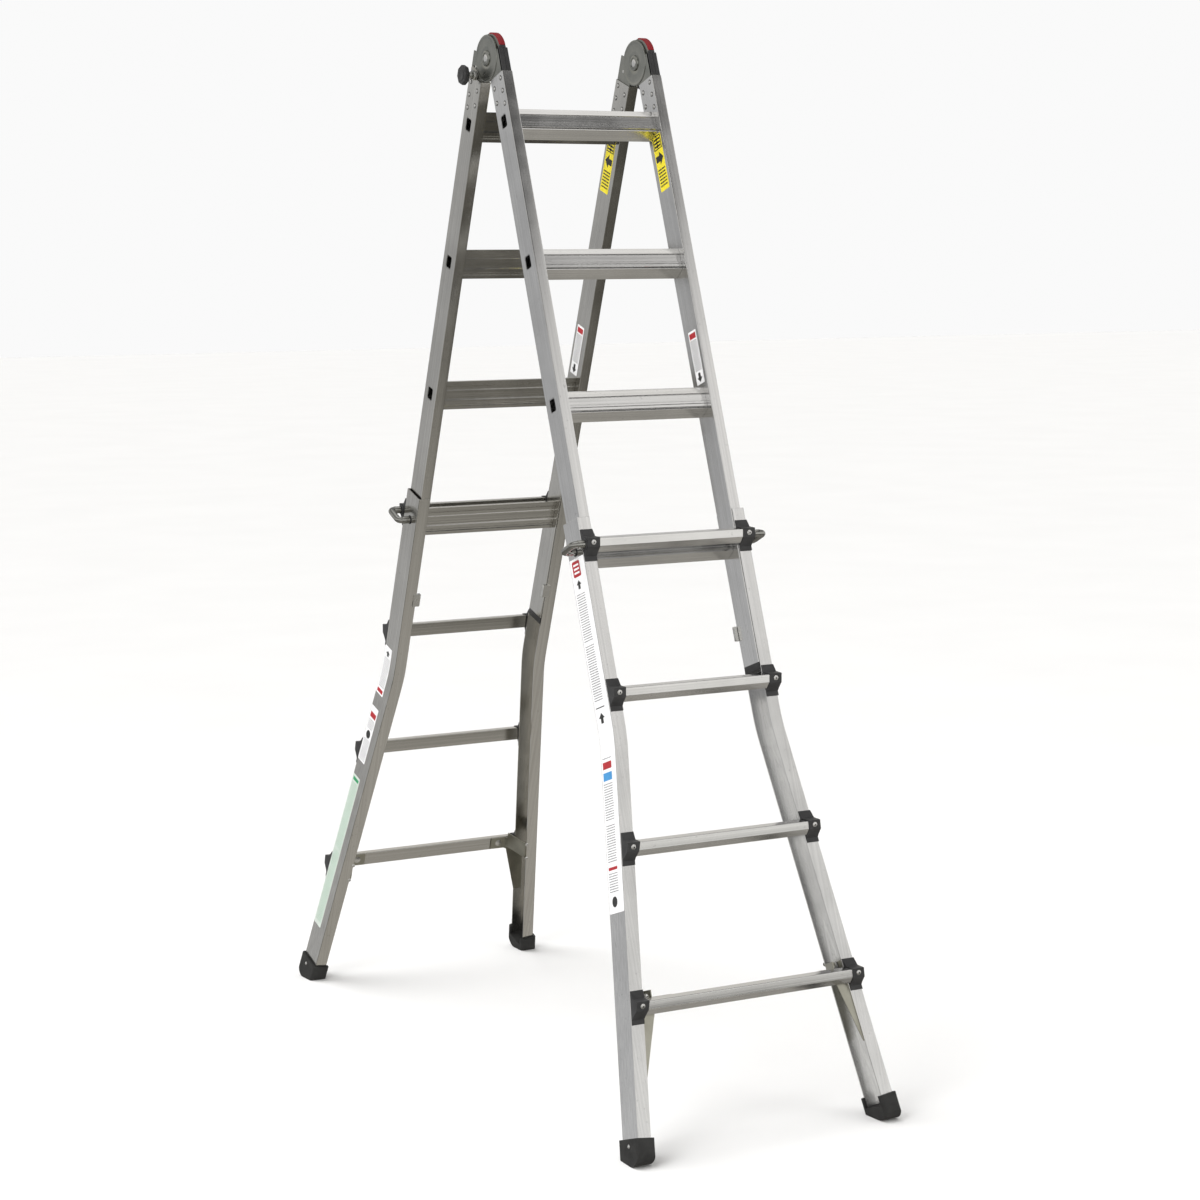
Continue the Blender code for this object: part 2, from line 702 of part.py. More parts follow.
def knob_mesh():
    """The octagonal lock knob on its stem, about the stem's axis."""
    radius = KNOB_ACROSS / 2 / math.cos(math.pi / 8)
    profile = [
        (KNOB_START, radius - KNOB_RIM),
        (KNOB_START + KNOB_RIM, radius),
        (KNOB_END - KNOB_RIM, radius),
        (KNOB_END, radius - KNOB_RIM),
    ]
    loops = []
    for x, size in profile:
        loops.append([(x, y, z) for y, z in circle(size, sides=8, turned=math.pi / 8)])
    return combined(lofted(loops), [along_x(circle(STEM_RADIUS), PLATE_START + GAP, KNOB_START + KNOB_RIM)])


def add_hinges(front, back, steel, plastic):
    """Two hinges. Each has an arm for either leg, a pivot bolt and a lock knob."""
    for label, side in (("left", -1), ("right", 1)):
        place(f"hinge_front_arm_{label}", mirrored(front_arm_mesh(), -side), steel, front)
        place(f"hinge_pivot_bolt_{label}", mirrored(pivot_mesh(), -side), steel, front)
        place(f"hinge_back_arm_{label}", mirrored(back_arm_mesh(), side), steel, back)
        knob = mirrored(knob_mesh(), side)
        place(f"hinge_lock_knob_{label}", knob, plastic, back, (0, KNOB_Y, -KNOB_DEPTH))


def sides_of(prefix):
    """The two sides' names and their signs in the half's own frame, which is turned round in the front."""
    turned = -1 if prefix == "front" else 1
    return (("left", -turned), ("right", turned))


def main():
    """Clears the scene and builds the ladder."""
    for item in list(bpy.data.objects):
        bpy.data.objects.remove(item)
    aluminium = material("aluminium", (0.60, 0.60, 0.58), 0.38, 1.0)
    plastic = material("black_plastic", (0.025, 0.025, 0.026), 0.45)
    rubber = material("rubber", (0.018, 0.018, 0.018), 0.75)
    steel = material("steel", (0.28, 0.29, 0.27), 0.42, 1.0)
    front = half_frame("front_half", math.pi)
    back = half_frame("back_half", 0.0)
    for prefix, half in (("front", front), ("back", back)):
        add_inner_section(prefix, half, aluminium)
        add_outer_section(prefix, half, aluminium, plastic, steel, rubber)
        add_rung_locks(prefix, half, steel)
    add_hinges(front, back, steel, plastic)


main()
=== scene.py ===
"""Multi position ladder: its finishes, its small fittings and stickers, and the studio round it.

Metres, +Z up, X along the rungs, the front half towards -Y. Fittings are made in the frame of the half that
they belong to, whose origin is on the hinge axis: X outwards, Y out to the climbing side, Z up the rails.
"Depth" is a place down the rails, so z = -depth there. A turned part's profile is a row of (height, radius).
"""

import math
import random

import bmesh
import bpy
from mathutils import Matrix, Vector


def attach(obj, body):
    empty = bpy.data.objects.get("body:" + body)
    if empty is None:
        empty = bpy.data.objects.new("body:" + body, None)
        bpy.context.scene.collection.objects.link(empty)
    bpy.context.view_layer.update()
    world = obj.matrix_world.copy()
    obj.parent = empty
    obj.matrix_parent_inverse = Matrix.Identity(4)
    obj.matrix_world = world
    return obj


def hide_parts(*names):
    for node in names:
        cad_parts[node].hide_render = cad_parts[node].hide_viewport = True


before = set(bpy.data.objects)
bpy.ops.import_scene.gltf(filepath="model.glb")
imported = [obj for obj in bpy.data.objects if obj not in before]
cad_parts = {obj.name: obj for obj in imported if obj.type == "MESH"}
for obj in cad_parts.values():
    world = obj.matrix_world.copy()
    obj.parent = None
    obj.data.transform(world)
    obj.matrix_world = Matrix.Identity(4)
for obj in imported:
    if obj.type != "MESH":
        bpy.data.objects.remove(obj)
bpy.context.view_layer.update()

# The ladder's own sizes
HINGE_HEIGHT = 2.126
LEAN = math.radians(19.62)
PITCH = 0.3048
LEVELS = 4
INNER_IN = 0.165
INNER_OUT = 0.189
INNER_BACK = 0.0040
INNER_FRONT = 0.0628
OUTER_OUT = 0.195
OUTER_WIDTH = 0.028
OUTER_BACK = 0.0008
FLARE = math.radians(7.24)
BEND_START_DEPTH = 1.4208
BEND_RADIUS = 0.028 / math.tan(FLARE / 2)
BEND_END_DEPTH = BEND_START_DEPTH + BEND_RADIUS * math.sin(FLARE)
STEP_1_DEPTH = 1.0628
STEP_FACE_Y = 0.0905
STEP_PLATE_Y = 0.0668
FOOT_WALL = 0.0060

# Hinges. The front arm's outer edge is part of a circle, and its core lies between the back arm's two discs
DISC_OUTSIDE = 0.1867
DISC_INSIDE = 0.1673
ARM_INSIDE = 0.1672
ARM_OUTSIDE = 0.1868
CORE_START = 0.1704
CORE_END = 0.1836
ARC_CENTRE_Y = 0.0140
ARC_RADIUS = 0.0465
ARM_FACE = ARC_CENTRE_Y + ARC_RADIUS
DISC_CLEAR = 0.0497
KNOB_Y = 0.0385
KNOB_DEPTH = 0.0475
KNOB_FACE = 0.2200

# Rung locks. The handle is one bent bar: a guide rod, an arm and a lock pin
GUIDE_Y = 0.07955
GUIDE_DEPTH = 1.06314
PIN_Y = 0.0334
PIN_DEPTH = 1.0672
HANDLE_RADIUS = 0.0072
HANDLE_OUT = 0.2226
HANDLE_BEND = 0.0084
GUIDE_START = 0.1880
PIN_START = 0.1930
PRONG_SLEEVE_RADIUS = 0.0081

HALVES = ("front", "back")
BOTH = (1, -1)
FINE = 32
COARSE = 16
HEXAGON = 6
SHARP_ANGLE = math.radians(38)

# Sticker film and each layer of ink on it are one skin thick
SKIN = 0.00015
PRINT = 2 * SKIN
PRINT_ON_PRINT = 3 * SKIN


# Frames of the two halves

def half_matrix(half):
    """The standing frame of one half."""
    turn = math.pi if half == "front" else 0.0
    lean = Matrix.Rotation(turn, 4, "Z") @ Matrix.Rotation(LEAN, 4, "X")
    return Matrix.Translation((0, 0, HINGE_HEIGHT)) @ lean


def flare_at(depth):
    """How far the outer rail's face stands out at a depth: straight, then an arc, then straight again."""
    if depth < BEND_START_DEPTH:
        return 0.0
    if depth < BEND_END_DEPTH:
        return BEND_RADIUS - math.sqrt(BEND_RADIUS ** 2 - (depth - BEND_START_DEPTH) ** 2)
    return BEND_RADIUS * (1 - math.cos(FLARE)) + (depth - BEND_END_DEPTH) * math.tan(FLARE)


# Shapes, added to a bmesh

def circle(radius, centre=(0.0, 0.0), sides=FINE):
    """Points round a circle."""
    angles = [math.tau * i / sides for i in range(sides)]
    return [(centre[0] + radius * math.cos(a), centre[1] + radius * math.sin(a)) for a in angles]


def rounded_box(low, high, radius):
    """A rectangle between two corners, with round corners."""
    points = []
    spans = 4
    corners = (high, (low[0], high[1]), low, (high[0], low[1]))
    for quarter, (x, y) in enumerate(corners):
        centre_x = min(max(x, low[0] + radius), high[0] - radius)
        centre_y = min(max(y, low[1] + radius), high[1] - radius)
        for i in range(spans + 1):
            angle = math.pi / 2 * (quarter + i / spans)
            points.append((centre_x + radius * math.cos(angle), centre_y + radius * math.sin(angle)))
    return points


def add_loft(bm, loops):
    """A solid through a row of loops with the same number of points."""
    rows = [[bm.verts.new(point) for point in loop] for loop in loops]
    bm.faces.new(rows[0])
    bm.faces.new(rows[-1])
    for first, second in zip(rows, rows[1:]):
        for i in range(len(first)):
            bm.faces.new((first[i - 1], first[i], second[i], second[i - 1]))


def add_turned(bm, axis, profile, sides=COARSE):
    """A turned solid along a frame's Z."""
    loops = []
    for height, radius in profile:
        loops.append([axis @ Vector((x, y, height)) for x, y in circle(radius, sides=sides)])
    add_loft(bm, loops)


def add_block(bm, axis, outline, height, edge):
    """A plate on an outline in a frame's XY, its top edge eased towards the outline's middle."""
    middle = Vector((sum(x for x, _ in outline), sum(y for _, y in outline), 0)) / len(outline)
    first_cut = edge * 0.3
    loops = []
    for z, inwards in ((0.0, 0.0), (height - edge, 0.0), (height - first_cut, first_cut), (height, edge)):
        loop = []
        for x, y in outline:
            point = Vector((x, y, 0))
            point += (middle - point).normalized() * inwards
            loop.append(axis @ Vector((point.x, point.y, z)))
        loops.append(loop)
    add_loft(bm, loops)


def add_bar(bm, points, radius):
    """A round bar through points that lie in one plane."""
    points = [Vector(point) for point in points]
    plane = (points[-1] - points[0]).cross(points[len(points) // 2] - points[0]).normalized()
    loops = []
    for i, point in enumerate(points):
        along = (points[min(i + 1, len(points) - 1)] - points[max(i - 1, 0)]).normalized()
        across = plane.cross(along)
        loops.append([point + across * u + plane * v for u, v in circle(radius, sides=COARSE)])
    add_loft(bm, loops)


def pointing(place, direction):
    """The frame at a place whose Z points in a direction."""
    turn = Vector((0, 0, 1)).rotation_difference(Vector(direction))
    return Matrix.Translation(place) @ turn.to_matrix().to_4x4()


def facing_x(x, y=0.0, depth=0.0, inwards=False):
    """The frame at a place whose Z points outwards, or inwards, and whose X and Y are the half's Y and Z."""
    outwards = -1 if inwards else 1
    return Matrix(((0, 0, outwards, x), (1, 0, 0, y), (0, 1, 0, -depth), (0, 0, 0, 1)))


def piece(name, bm, half, sides, body, finish):
    """Makes a piece that rides on a body. The bmesh is the one for +X, and sides holds the signs to make."""
    bmesh.ops.recalc_face_normals(bm, faces=bm.faces)
    one = bpy.data.meshes.new(name)
    bm.to_mesh(one)
    bm.free()
    both = bmesh.new()
    for side in sides:
        copy = one.copy()
        if side < 0:
            copy.transform(Matrix.Scale(-1, 4, (1, 0, 0)))
            copy.flip_normals()
        both.from_mesh(copy)
        bpy.data.meshes.remove(copy)
    mesh = bpy.data.meshes.new(name)
    both.to_mesh(mesh)
    both.free()
    bpy.data.meshes.remove(one)
    mesh.transform(half_matrix(half))
    mesh.shade_smooth()
    mesh.set_sharp_from_angle(angle=SHARP_ANGLE)
    mesh.materials.append(finish)
    item = bpy.data.objects.new(name, mesh)
    bpy.context.scene.collection.objects.link(item)
    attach(item, body)
    return item


# Materials

def new_material(name, metallic=0.0):
    """A Principled material: (material, tree, shader)."""
    made = bpy.data.materials.new(name)
    made.use_nodes = True
    tree = made.node_tree
    shader = tree.nodes["Principled BSDF"]
    shader.inputs["Metallic"].default_value = metallic
    return made, tree, shader


def object_coordinates(tree, angle=0.0, scale=(1, 1, 1)):
    """Object coordinates turned about X, then scaled."""
    coordinates = tree.nodes.new("ShaderNodeTexCoord")
    turn = tree.nodes.new("ShaderNodeMapping")
    turn.inputs["Rotation"].default_value = (angle, 0, 0)
    stretch = tree.nodes.new("ShaderNodeMapping")
    stretch.inputs["Scale"].default_value = scale
    tree.links.new(coordinates.outputs["Object"], turn.inputs["Vector"])
    tree.links.new(turn.outputs["Vector"], stretch.inputs["Vector"])
    return stretch.outputs["Vector"]


def noise(tree, vector, scale, detail=3.0):
    """A noise texture's value."""
    texture = tree.nodes.new("ShaderNodeTexNoise")
    texture.inputs["Scale"].default_value = scale
    texture.inputs["Detail"].default_value = detail
    texture.inputs["Roughness"].default_value = 0.55
    tree.links.new(vector, texture.inputs["Vector"])
    return texture.outputs["Fac"]


def ramp(tree, value, stops):
    """A colour ramp's colour. The stops are (position, grey or (r, g, b))."""
    made = tree.nodes.new("ShaderNodeValToRGB")
    elements = made.color_ramp.elements
    while len(elements) < len(stops):
        elements.new(0.5)
    for element, (position, colour) in zip(elements, stops):
        rgb = colour if isinstance(colour, tuple) else (colour,) * 3
        element.position = position
        element.color = (*rgb, 1.0)
    tree.links.new(value, made.inputs["Fac"])
    return made.outputs["Color"]


def multiplied(tree, first, second):
    """One colour times another."""
    mix = tree.nodes.new("ShaderNodeMix")
    mix.data_type = "RGBA"
    mix.blend_type = "MULTIPLY"
    mix.inputs["Factor"].default_value = 1.0
    tree.links.new(first, mix.inputs["A"])
    tree.links.new(second, mix.inputs["B"])
    return mix.outputs["Result"]


def bumped(tree, shader, height, strength, distance):
    """A bump from a height on the shader's normal."""
    bump = tree.nodes.new("ShaderNodeBump")
    bump.inputs["Strength"].default_value = strength
    bump.inputs["Distance"].default_value = distance
    tree.links.new(height, bump.inputs["Height"])
    tree.links.new(bump.outputs["Normal"], shader.inputs["Normal"])


def extruded_aluminium(name, angle, scale, dark, light):
    """Mill finish with fine lines along the extrusion, faint handling marks and small pits."""
    made, tree, shader = new_material(name, metallic=1.0)
    lines = noise(tree, object_coordinates(tree, angle, scale), 1.0, detail=4.0)
    clouds = noise(tree, object_coordinates(tree, angle), 9.0, detail=5.0)
    marks = noise(tree, object_coordinates(tree, angle), 160.0, detail=2.0)
    streaked = ramp(tree, lines, [(0.25, dark), (0.75, light)])
    clouded = ramp(tree, clouds, [(0.30, 0.86), (0.70, 1.0)])
    pitted = ramp(tree, marks, [(0.22, 0.80), (0.34, 1.0)])
    colour = multiplied(tree, multiplied(tree, streaked, clouded), pitted)
    tree.links.new(colour, shader.inputs["Base Color"])
    tree.links.new(ramp(tree, clouds, [(0.30, 0.15), (0.70, 0.24)]), shader.inputs["Roughness"])
    bumped(tree, shader, lines, 0.25, 0.0002)
    return made


def dull_metal(name, dark, light, rough):
    """Cast or plated metal: a fine grain with soft clouds."""
    made, tree, shader = new_material(name, metallic=1.0)
    grain = noise(tree, object_coordinates(tree), 720.0, detail=4.0)
    clouds = noise(tree, object_coordinates(tree), 30.0, detail=4.0)
    tree.links.new(ramp(tree, clouds, [(0.30, dark), (0.70, light)]), shader.inputs["Base Color"])
    tree.links.new(ramp(tree, clouds, [(0.30, rough), (0.70, rough + 0.14)]), shader.inputs["Roughness"])
    bumped(tree, shader, grain, 0.3, 0.0002)
    return made


def moulded(name, dark, light, rough, grain_scale=900.0, grain_depth=0.00015):
    """Moulded plastic or rubber: a fine spark grain and slight wear."""
    made, tree, shader = new_material(name)
    grain = noise(tree, object_coordinates(tree), grain_scale, detail=3.0)
    clouds = noise(tree, object_coordinates(tree), 45.0, detail=5.0)
    tree.links.new(ramp(tree, clouds, [(0.32, dark), (0.72, light)]), shader.inputs["Base Color"])
    tree.links.new(ramp(tree, grain, [(0.30, rough), (0.70, rough + 0.18)]), shader.inputs["Roughness"])
    bumped(tree, shader, grain, 0.5, grain_depth)
    return made


def printed(name, colour):
    """Ink or sticker film, a little uneven."""
    made, tree, shader = new_material(name)
    clouds = noise(tree, object_coordinates(tree), 60.0, detail=4.0)
    low = tuple(channel * 0.90 for channel in colour)
    tree.links.new(ramp(tree, clouds, [(0.30, low), (0.60, colour)]), shader.inputs["Base Color"])
    shader.inputs["Roughness"].default_value = 0.42
    return made


def all_materials():
    """Every finish, by name."""
    lengthwise = (260, 260, 1.6)
    crosswise = (1.6, 260, 260)
    return {
        "front_rail": extruded_aluminium("front_rail_aluminium", LEAN, lengthwise, 0.74, 0.88),
        # The back rails are the front rails' aluminium made darker and warmer: painted shade on the back
        # half
        "back_rail": extruded_aluminium(
            "back_rail_aluminium_painted_shade", -LEAN, lengthwise, (0.62, 0.61, 0.58), (0.78, 0.77, 0.74)
        ),
        "front_rung": extruded_aluminium("front_rung_aluminium", 0.0, crosswise, 0.72, 0.88),
        # The back rungs are the front rungs' aluminium made darker and warmer: painted shade on the back
        # half
        "back_rung": extruded_aluminium(
            "back_rung_aluminium_painted_shade", 0.0, crosswise, (0.56, 0.55, 0.52), (0.70, 0.69, 0.66)
        ),
        "hinge": dull_metal("cast_hinge", (0.27, 0.28, 0.26), (0.38, 0.385, 0.36), 0.25),
        "zinc": dull_metal("zinc_plated_steel", (0.30, 0.30, 0.29), (0.42, 0.42, 0.40), 0.16),
        "bright": dull_metal("bright_fastener", (0.72, 0.72, 0.71), (0.86, 0.86, 0.85), 0.20),
        "brace": dull_metal("pressed_sheet", (0.40, 0.39, 0.33), (0.52, 0.51, 0.44), 0.30),
        # Sheet for the guide clips, and also the lighter metal of the brace ribs, which is painted highlight
        "bright_sheet_and_painted_highlight": dull_metal("rolled_sheet_and_painted_highlight", (0.66, 0.66, 0.64), (0.80, 0.80, 0.78), 0.22),
        "plastic": moulded("black_nylon", (0.020, 0.020, 0.021), (0.034, 0.034, 0.035), 0.38),
        "rubber": moulded("black_rubber", (0.016, 0.016, 0.016), (0.030, 0.030, 0.029), 0.62, 700.0, 0.0003),
        "red": moulded("red_plastic", (0.16, 0.002, 0.006), (0.22, 0.003, 0.008), 0.45),
        "paper": printed("white_film", (0.86, 0.86, 0.87)),
        "pale": printed("pale_green_film", (0.60, 0.66, 0.61)),
        "yellow": printed("yellow_film", (0.88, 0.74, 0.02)),
        "ink_red": printed("red_ink", (0.40, 0.012, 0.02)),
        # Black for sticker print, and also for the painted shadow rings round rivets and the painted shade
        # in screw sockets
        "ink_black_and_painted_shade": printed("black_ink_and_painted_shade", (0.02, 0.02, 0.02)),
        "ink_grey": printed("grey_ink", (0.16, 0.16, 0.17)),
        "ink_blue": printed("blue_ink", (0.05, 0.28, 0.60)),
        "ink_green": printed("green_ink", (0.03, 0.30, 0.12)),
    }


# CAD nodes

CAD_EDGE_ANGLE = math.radians(50)
EASED_ANGLE = math.radians(34)
FLAT_ANGLE = math.radians(0.5)
WELD_DISTANCE = 0.00002
EDGE_WIDTHS = (
    ("bracket", 0.0016), ("foot", 0.0016), ("knob", 0.0012), ("outer_rail", 0.0007), ("inner_rail", 0.0007),
)
OTHER_EDGE_WIDTH = 0.0004


def shading_group():
    """Geometry nodes that smooth the shading except across the CAD's own edges."""
    group = bpy.data.node_groups.new("smooth_shading", "GeometryNodeTree")
    group.interface.new_socket("Geometry", in_out="INPUT", socket_type="NodeSocketGeometry")
    group.interface.new_socket("Geometry", in_out="OUTPUT", socket_type="NodeSocketGeometry")
    source = group.nodes.new("NodeGroupInput")
    result = group.nodes.new("NodeGroupOutput")
    smooth = group.nodes.new("GeometryNodeSetShadeSmooth")
    sharp = group.nodes.new("GeometryNodeSetShadeSmooth")
    sharp.domain = "EDGE"
    sharp.inputs["Shade Smooth"].default_value = False
    angle = group.nodes.new("GeometryNodeInputMeshEdgeAngle")
    over = group.nodes.new("FunctionNodeCompare")
    over.operation = "GREATER_THAN"
    over.inputs["B"].default_value = CAD_EDGE_ANGLE
    group.links.new(source.outputs["Geometry"], smooth.inputs["Geometry"])
    group.links.new(smooth.outputs["Geometry"], sharp.inputs["Geometry"])
    group.links.new(angle.outputs["Unsigned Angle"], over.inputs["A"])
    group.links.new(over.outputs["Result"], sharp.inputs["Selection"])
    group.links.new(sharp.outputs["Geometry"], result.inputs["Geometry"])
    return group


def edge_width(node):
    """How wide the worn or moulded edges of a CAD node are, by a word in its name."""
    return next((width for word, width in EDGE_WIDTHS if word in node), OTHER_EDGE_WIDTH)


def ease_edges(item, width, shading):
    """Rounds a CAD node's sharp edges with modifiers, and leaves its flats flat."""
    weld = item.modifiers.new("weld", "WELD")
    weld.merge_threshold = WELD_DISTANCE
    flat = item.modifiers.new("flat", "DECIMATE")
    flat.decimate_type = "DISSOLVE"
    flat.angle_limit = FLAT_ANGLE
    bevel = item.modifiers.new("bevel", "BEVEL")
    bevel.width = width
    bevel.segments = 2
    bevel.limit_method = "ANGLE"
    bevel.angle_limit = EASED_ANGLE
    smooth = item.modifiers.new("shading", "NODES")
    smooth.node_group = shading
    weighted = item.modifiers.new("weighted", "WEIGHTED_NORMAL")
    weighted.keep_sharp = True


def finish_of(node, finishes):
    """The finish of a CAD node."""
    if "rung_lock" in node:
        return finishes["zinc"]
    if "step_bracket" in node or "knob" in node:
        return finishes["plastic"]
    if "foot" in node:
        return finishes["rubber"]
    half = "front" if node.startswith("front") else "back"
    if "rung" in node or "step" in node:
        return finishes[f"{half}_rung"]
    if "brace" in node:
        return finishes["brace"]
    if "bolt" in node:
        return finishes["bright"]
    if "hinge" in node:
        return finishes["hinge"]
    return finishes[f"{half}_rail"]


def finish_cad_nodes(finishes):
    """Gives every CAD node its finish and its eased edges."""
    shading = shading_group()
    for name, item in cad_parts.items():
        item.data.materials.clear()
        item.data.materials.append(finish_of(name, finishes))
        ease_edges(item, edge_width(name), shading)


# Fittings. Places on a rail's inner or outer face are (y, depth), and on its back (x, depth)

RIVETS = ((0.0495, 0.0640), (0.0495, 0.0915), (0.0495, 0.1195), (0.0167, 0.0748), (0.0167, 0.1066))
RIVET = ((-0.0002, 0.0040), (0.0003, 0.0040), (0.0010, 0.0033), (0.0014, 0.0020), (0.0015, 0.0008))
# A thin black ring round each rivet head: painted shadow in the gap round it
RIVET_SHADOW_RIM = ((-0.0002, 0.0055), (0.0001, 0.0055), (0.0002, 0.0048))
SCREW = (
    (-0.0004, 0.0052), (0.0006, 0.0052), (0.0010, 0.0048), (0.0011, 0.0037), (0.0020, 0.0034),
    (0.0027, 0.0028), (0.0028, 0.0018), (0.0016, 0.0014),
)
# A black hexagon inside each screw head's socket: painted shade
SCREW_PAINTED_SOCKET_SHADE = ((0.0010, 0.0020), (0.0021, 0.0017))
BRACKET_SCREW_X = 0.1815
BRACKET_FACE_Y = STEP_FACE_Y + 0.0010
PLUG_FIT = 0.0002
PLUG_CORNER = 0.0022
PLUG_SECTIONS = ((1.327, 0.0), (1.341, 0.0), (1.3425, 0.0008), (1.343, 0.002))
FOOT_SCREW = [(height * 0.7, radius * 0.78) for height, radius in SCREW]
FOOT_SCREW_PLACE = (0.0376, 2.2335)
BRACE_RIVETS = ((0.2305, 1.948), (0.2355, 1.9866))
BRACE_BOLT_PLACE = (0.1888, 1.9754)
BRACE_WASHER = ((-0.0004, 0.0085), (0.0005, 0.0085), (0.0008, 0.0075))
BRACE_BOLT = ((0.0004, 0.0062), (0.0012, 0.0062), (0.0015, 0.0050))
PIN_GROMMET = ((-0.0004, 0.0101), (0.0002, 0.0101), (0.0006, 0.0096), (0.0006, 0.0080))
GUIDE_GROMMET = ((-0.0004, 0.0112), (0.0012, 0.0112), (0.0022, 0.0104), (0.0024, 0.0090))
PRONG_SLEEVE = (
    (0.1956, 0.0066), (0.1960, 0.0078), (0.1968, PRONG_SLEEVE_RADIUS),
    (0.2120, PRONG_SLEEVE_RADIUS), (0.2132, 0.0077), (0.2138, 0.0068),
)

# A clip's outline in x and y, and its ends as (depth, how far inwards)
CLIP = (
    (0.1575, -0.0012), (0.1745, -0.0012), (0.1745, 0.0006),
    (0.1640, 0.0006), (0.1640, 0.0058), (0.1575, 0.0058),
)
CLIP_SECTIONS = ((1.240, 0.0006), (1.241, 0.0), (1.269, 0.0), (1.270, 0.0006))

# A brace rib's two ends as (distance in from the rail, y), and its sections as (share of the way, size)
RIB_ENDS = ((0.0215, 0.0570), (0.0045, 0.0060))
RIB_RISE = 0.011
RIB_HALF_HEIGHT = 0.0140
RIB_BULGE = 0.0085
RIB_SECTIONS = ((0.0, 0.15), (0.05, 0.75), (0.12, 1.0), (0.88, 1.0), (0.95, 0.75), (1.0, 0.15))


def section(half, which):
    """The body of a half's inner or outer section."""
    return f"{half}_{which}_section"


def sides_of(half):
    """The two sides' names and their signs in the half's own frame, which is turned round in the front."""
    turned = -1 if half == "front" else 1
    return (("left", -turned), ("right", turned))


def add_rivets(half, finishes):
    """The rivets through both faces of the inner rails that hold the hinge arms, and a black ring round each
    that is painted shadow.
    """
    for name, profile, finish in (("rivets", RIVET, "bright"), ("rivet_painted_shadow_rims", RIVET_SHADOW_RIM, "ink_black_and_painted_shade")):
        bm = bmesh.new()
        for y, depth in RIVETS:
            for x, inwards in ((INNER_OUT, False), (INNER_IN, True)):
                add_turned(bm, facing_x(x, y, depth, inwards), profile)
        piece(f"{half}_hinge_{name}", bm, half, BOTH, section(half, "inner"), finishes[finish])


def add_end_plugs(half, finishes):
    """The moulded plugs in the lower ends of the inner rails."""
    bm = bmesh.new()
    loops = []
    for depth, inwards in PLUG_SECTIONS:
        low = (INNER_IN - PLUG_FIT + inwards, INNER_BACK - PLUG_FIT + inwards)
        high = (INNER_OUT + PLUG_FIT - inwards, INNER_FRONT + PLUG_FIT - inwards)
        loops.append([(x, y, -depth) for x, y in rounded_box(low, high, PLUG_CORNER)])
    add_loft(bm, loops)
    body = section(half, "inner")
    piece(f"{half}_rail_end_plugs", bm, half, BOTH, body, finishes["plastic"])


def add_bracket_screws(half, finishes):
    """The screw through the face of each step bracket, and a black hexagon in its socket that is painted
    shade.
    """
    heads = bmesh.new()
    painted_socket_shades = bmesh.new()
    outwards = (0, math.cos(LEAN), -math.sin(LEAN))
    for k in range(LEVELS):
        depth = STEP_1_DEPTH + k * PITCH
        frame_here = pointing((BRACKET_SCREW_X + flare_at(depth), BRACKET_FACE_Y, -depth), outwards)
        add_turned(heads, frame_here, SCREW)
        add_turned(painted_socket_shades, frame_here, SCREW_PAINTED_SOCKET_SHADE, sides=HEXAGON)
    body = section(half, "outer")
    piece(f"{half}_bracket_screws", heads, half, BOTH, body, finishes["bright"])
    piece(f"{half}_bracket_screw_recesses", painted_socket_shades, half, BOTH, body, finishes["ink_black_and_painted_shade"])


def add_leg_fasteners(half, finishes):
    """The foot screws, and the rivets and bolt of each knee brace."""
    bm = bmesh.new()
    beside = Vector((math.cos(FLARE), 0, math.sin(FLARE)))
    y, depth = FOOT_SCREW_PLACE
    foot = Vector((OUTER_OUT + flare_at(depth), y, -depth)) + beside * FOOT_WALL
    add_turned(bm, pointing(foot, beside), FOOT_SCREW)
    for x, depth in BRACE_RIVETS:
        add_turned(bm, pointing((x, OUTER_BACK, -depth), (0, -1, 0)), RIVET)
    x, depth = BRACE_BOLT_PLACE
    bolt = pointing((x, STEP_PLATE_Y, -depth), (0, -1, 0))
    add_turned(bm, bolt, BRACE_WASHER)
    add_turned(bm, bolt, BRACE_BOLT, sides=HEXAGON)
    piece(f"{half}_leg_fasteners", bm, half, BOTH, section(half, "outer"), finishes["bright"])


def add_lock_grommets(half, finishes):
    """The black grommets that the lock pins and guide rods slide in."""
    bm = bmesh.new()
    add_turned(bm, facing_x(OUTER_OUT, PIN_Y, PIN_DEPTH), PIN_GROMMET, sides=FINE)
    add_turned(bm, facing_x(OUTER_OUT, GUIDE_Y, GUIDE_DEPTH), GUIDE_GROMMET, sides=FINE)
    body = section(half, "outer")
    piece(f"{half}_lock_grommets", bm, half, BOTH, body, finishes["plastic"])


def handle_route():
    """Points along the handle's round bar: guide rod, bend, arm, bend, lock pin."""
    guide = Vector((0, GUIDE_Y, -GUIDE_DEPTH))
    pin = Vector((0, PIN_Y, -PIN_DEPTH))
    down = (pin - guide).normalized()
    out = Vector((1, 0, 0))
    points = [guide + out * GUIDE_START]
    spans = 6
    for rod, into, onward, to_middle in ((guide, out, down, down), (pin, down, -out, -down)):
        centre = rod + out * (HANDLE_OUT - HANDLE_BEND) + to_middle * HANDLE_BEND
        for i in range(spans + 1):
            angle = math.pi / 2 * i / spans
            points.append(centre + (into * math.sin(angle) - onward * math.cos(angle)) * HANDLE_BEND)
    points.append(pin + out * PIN_START)
    return points


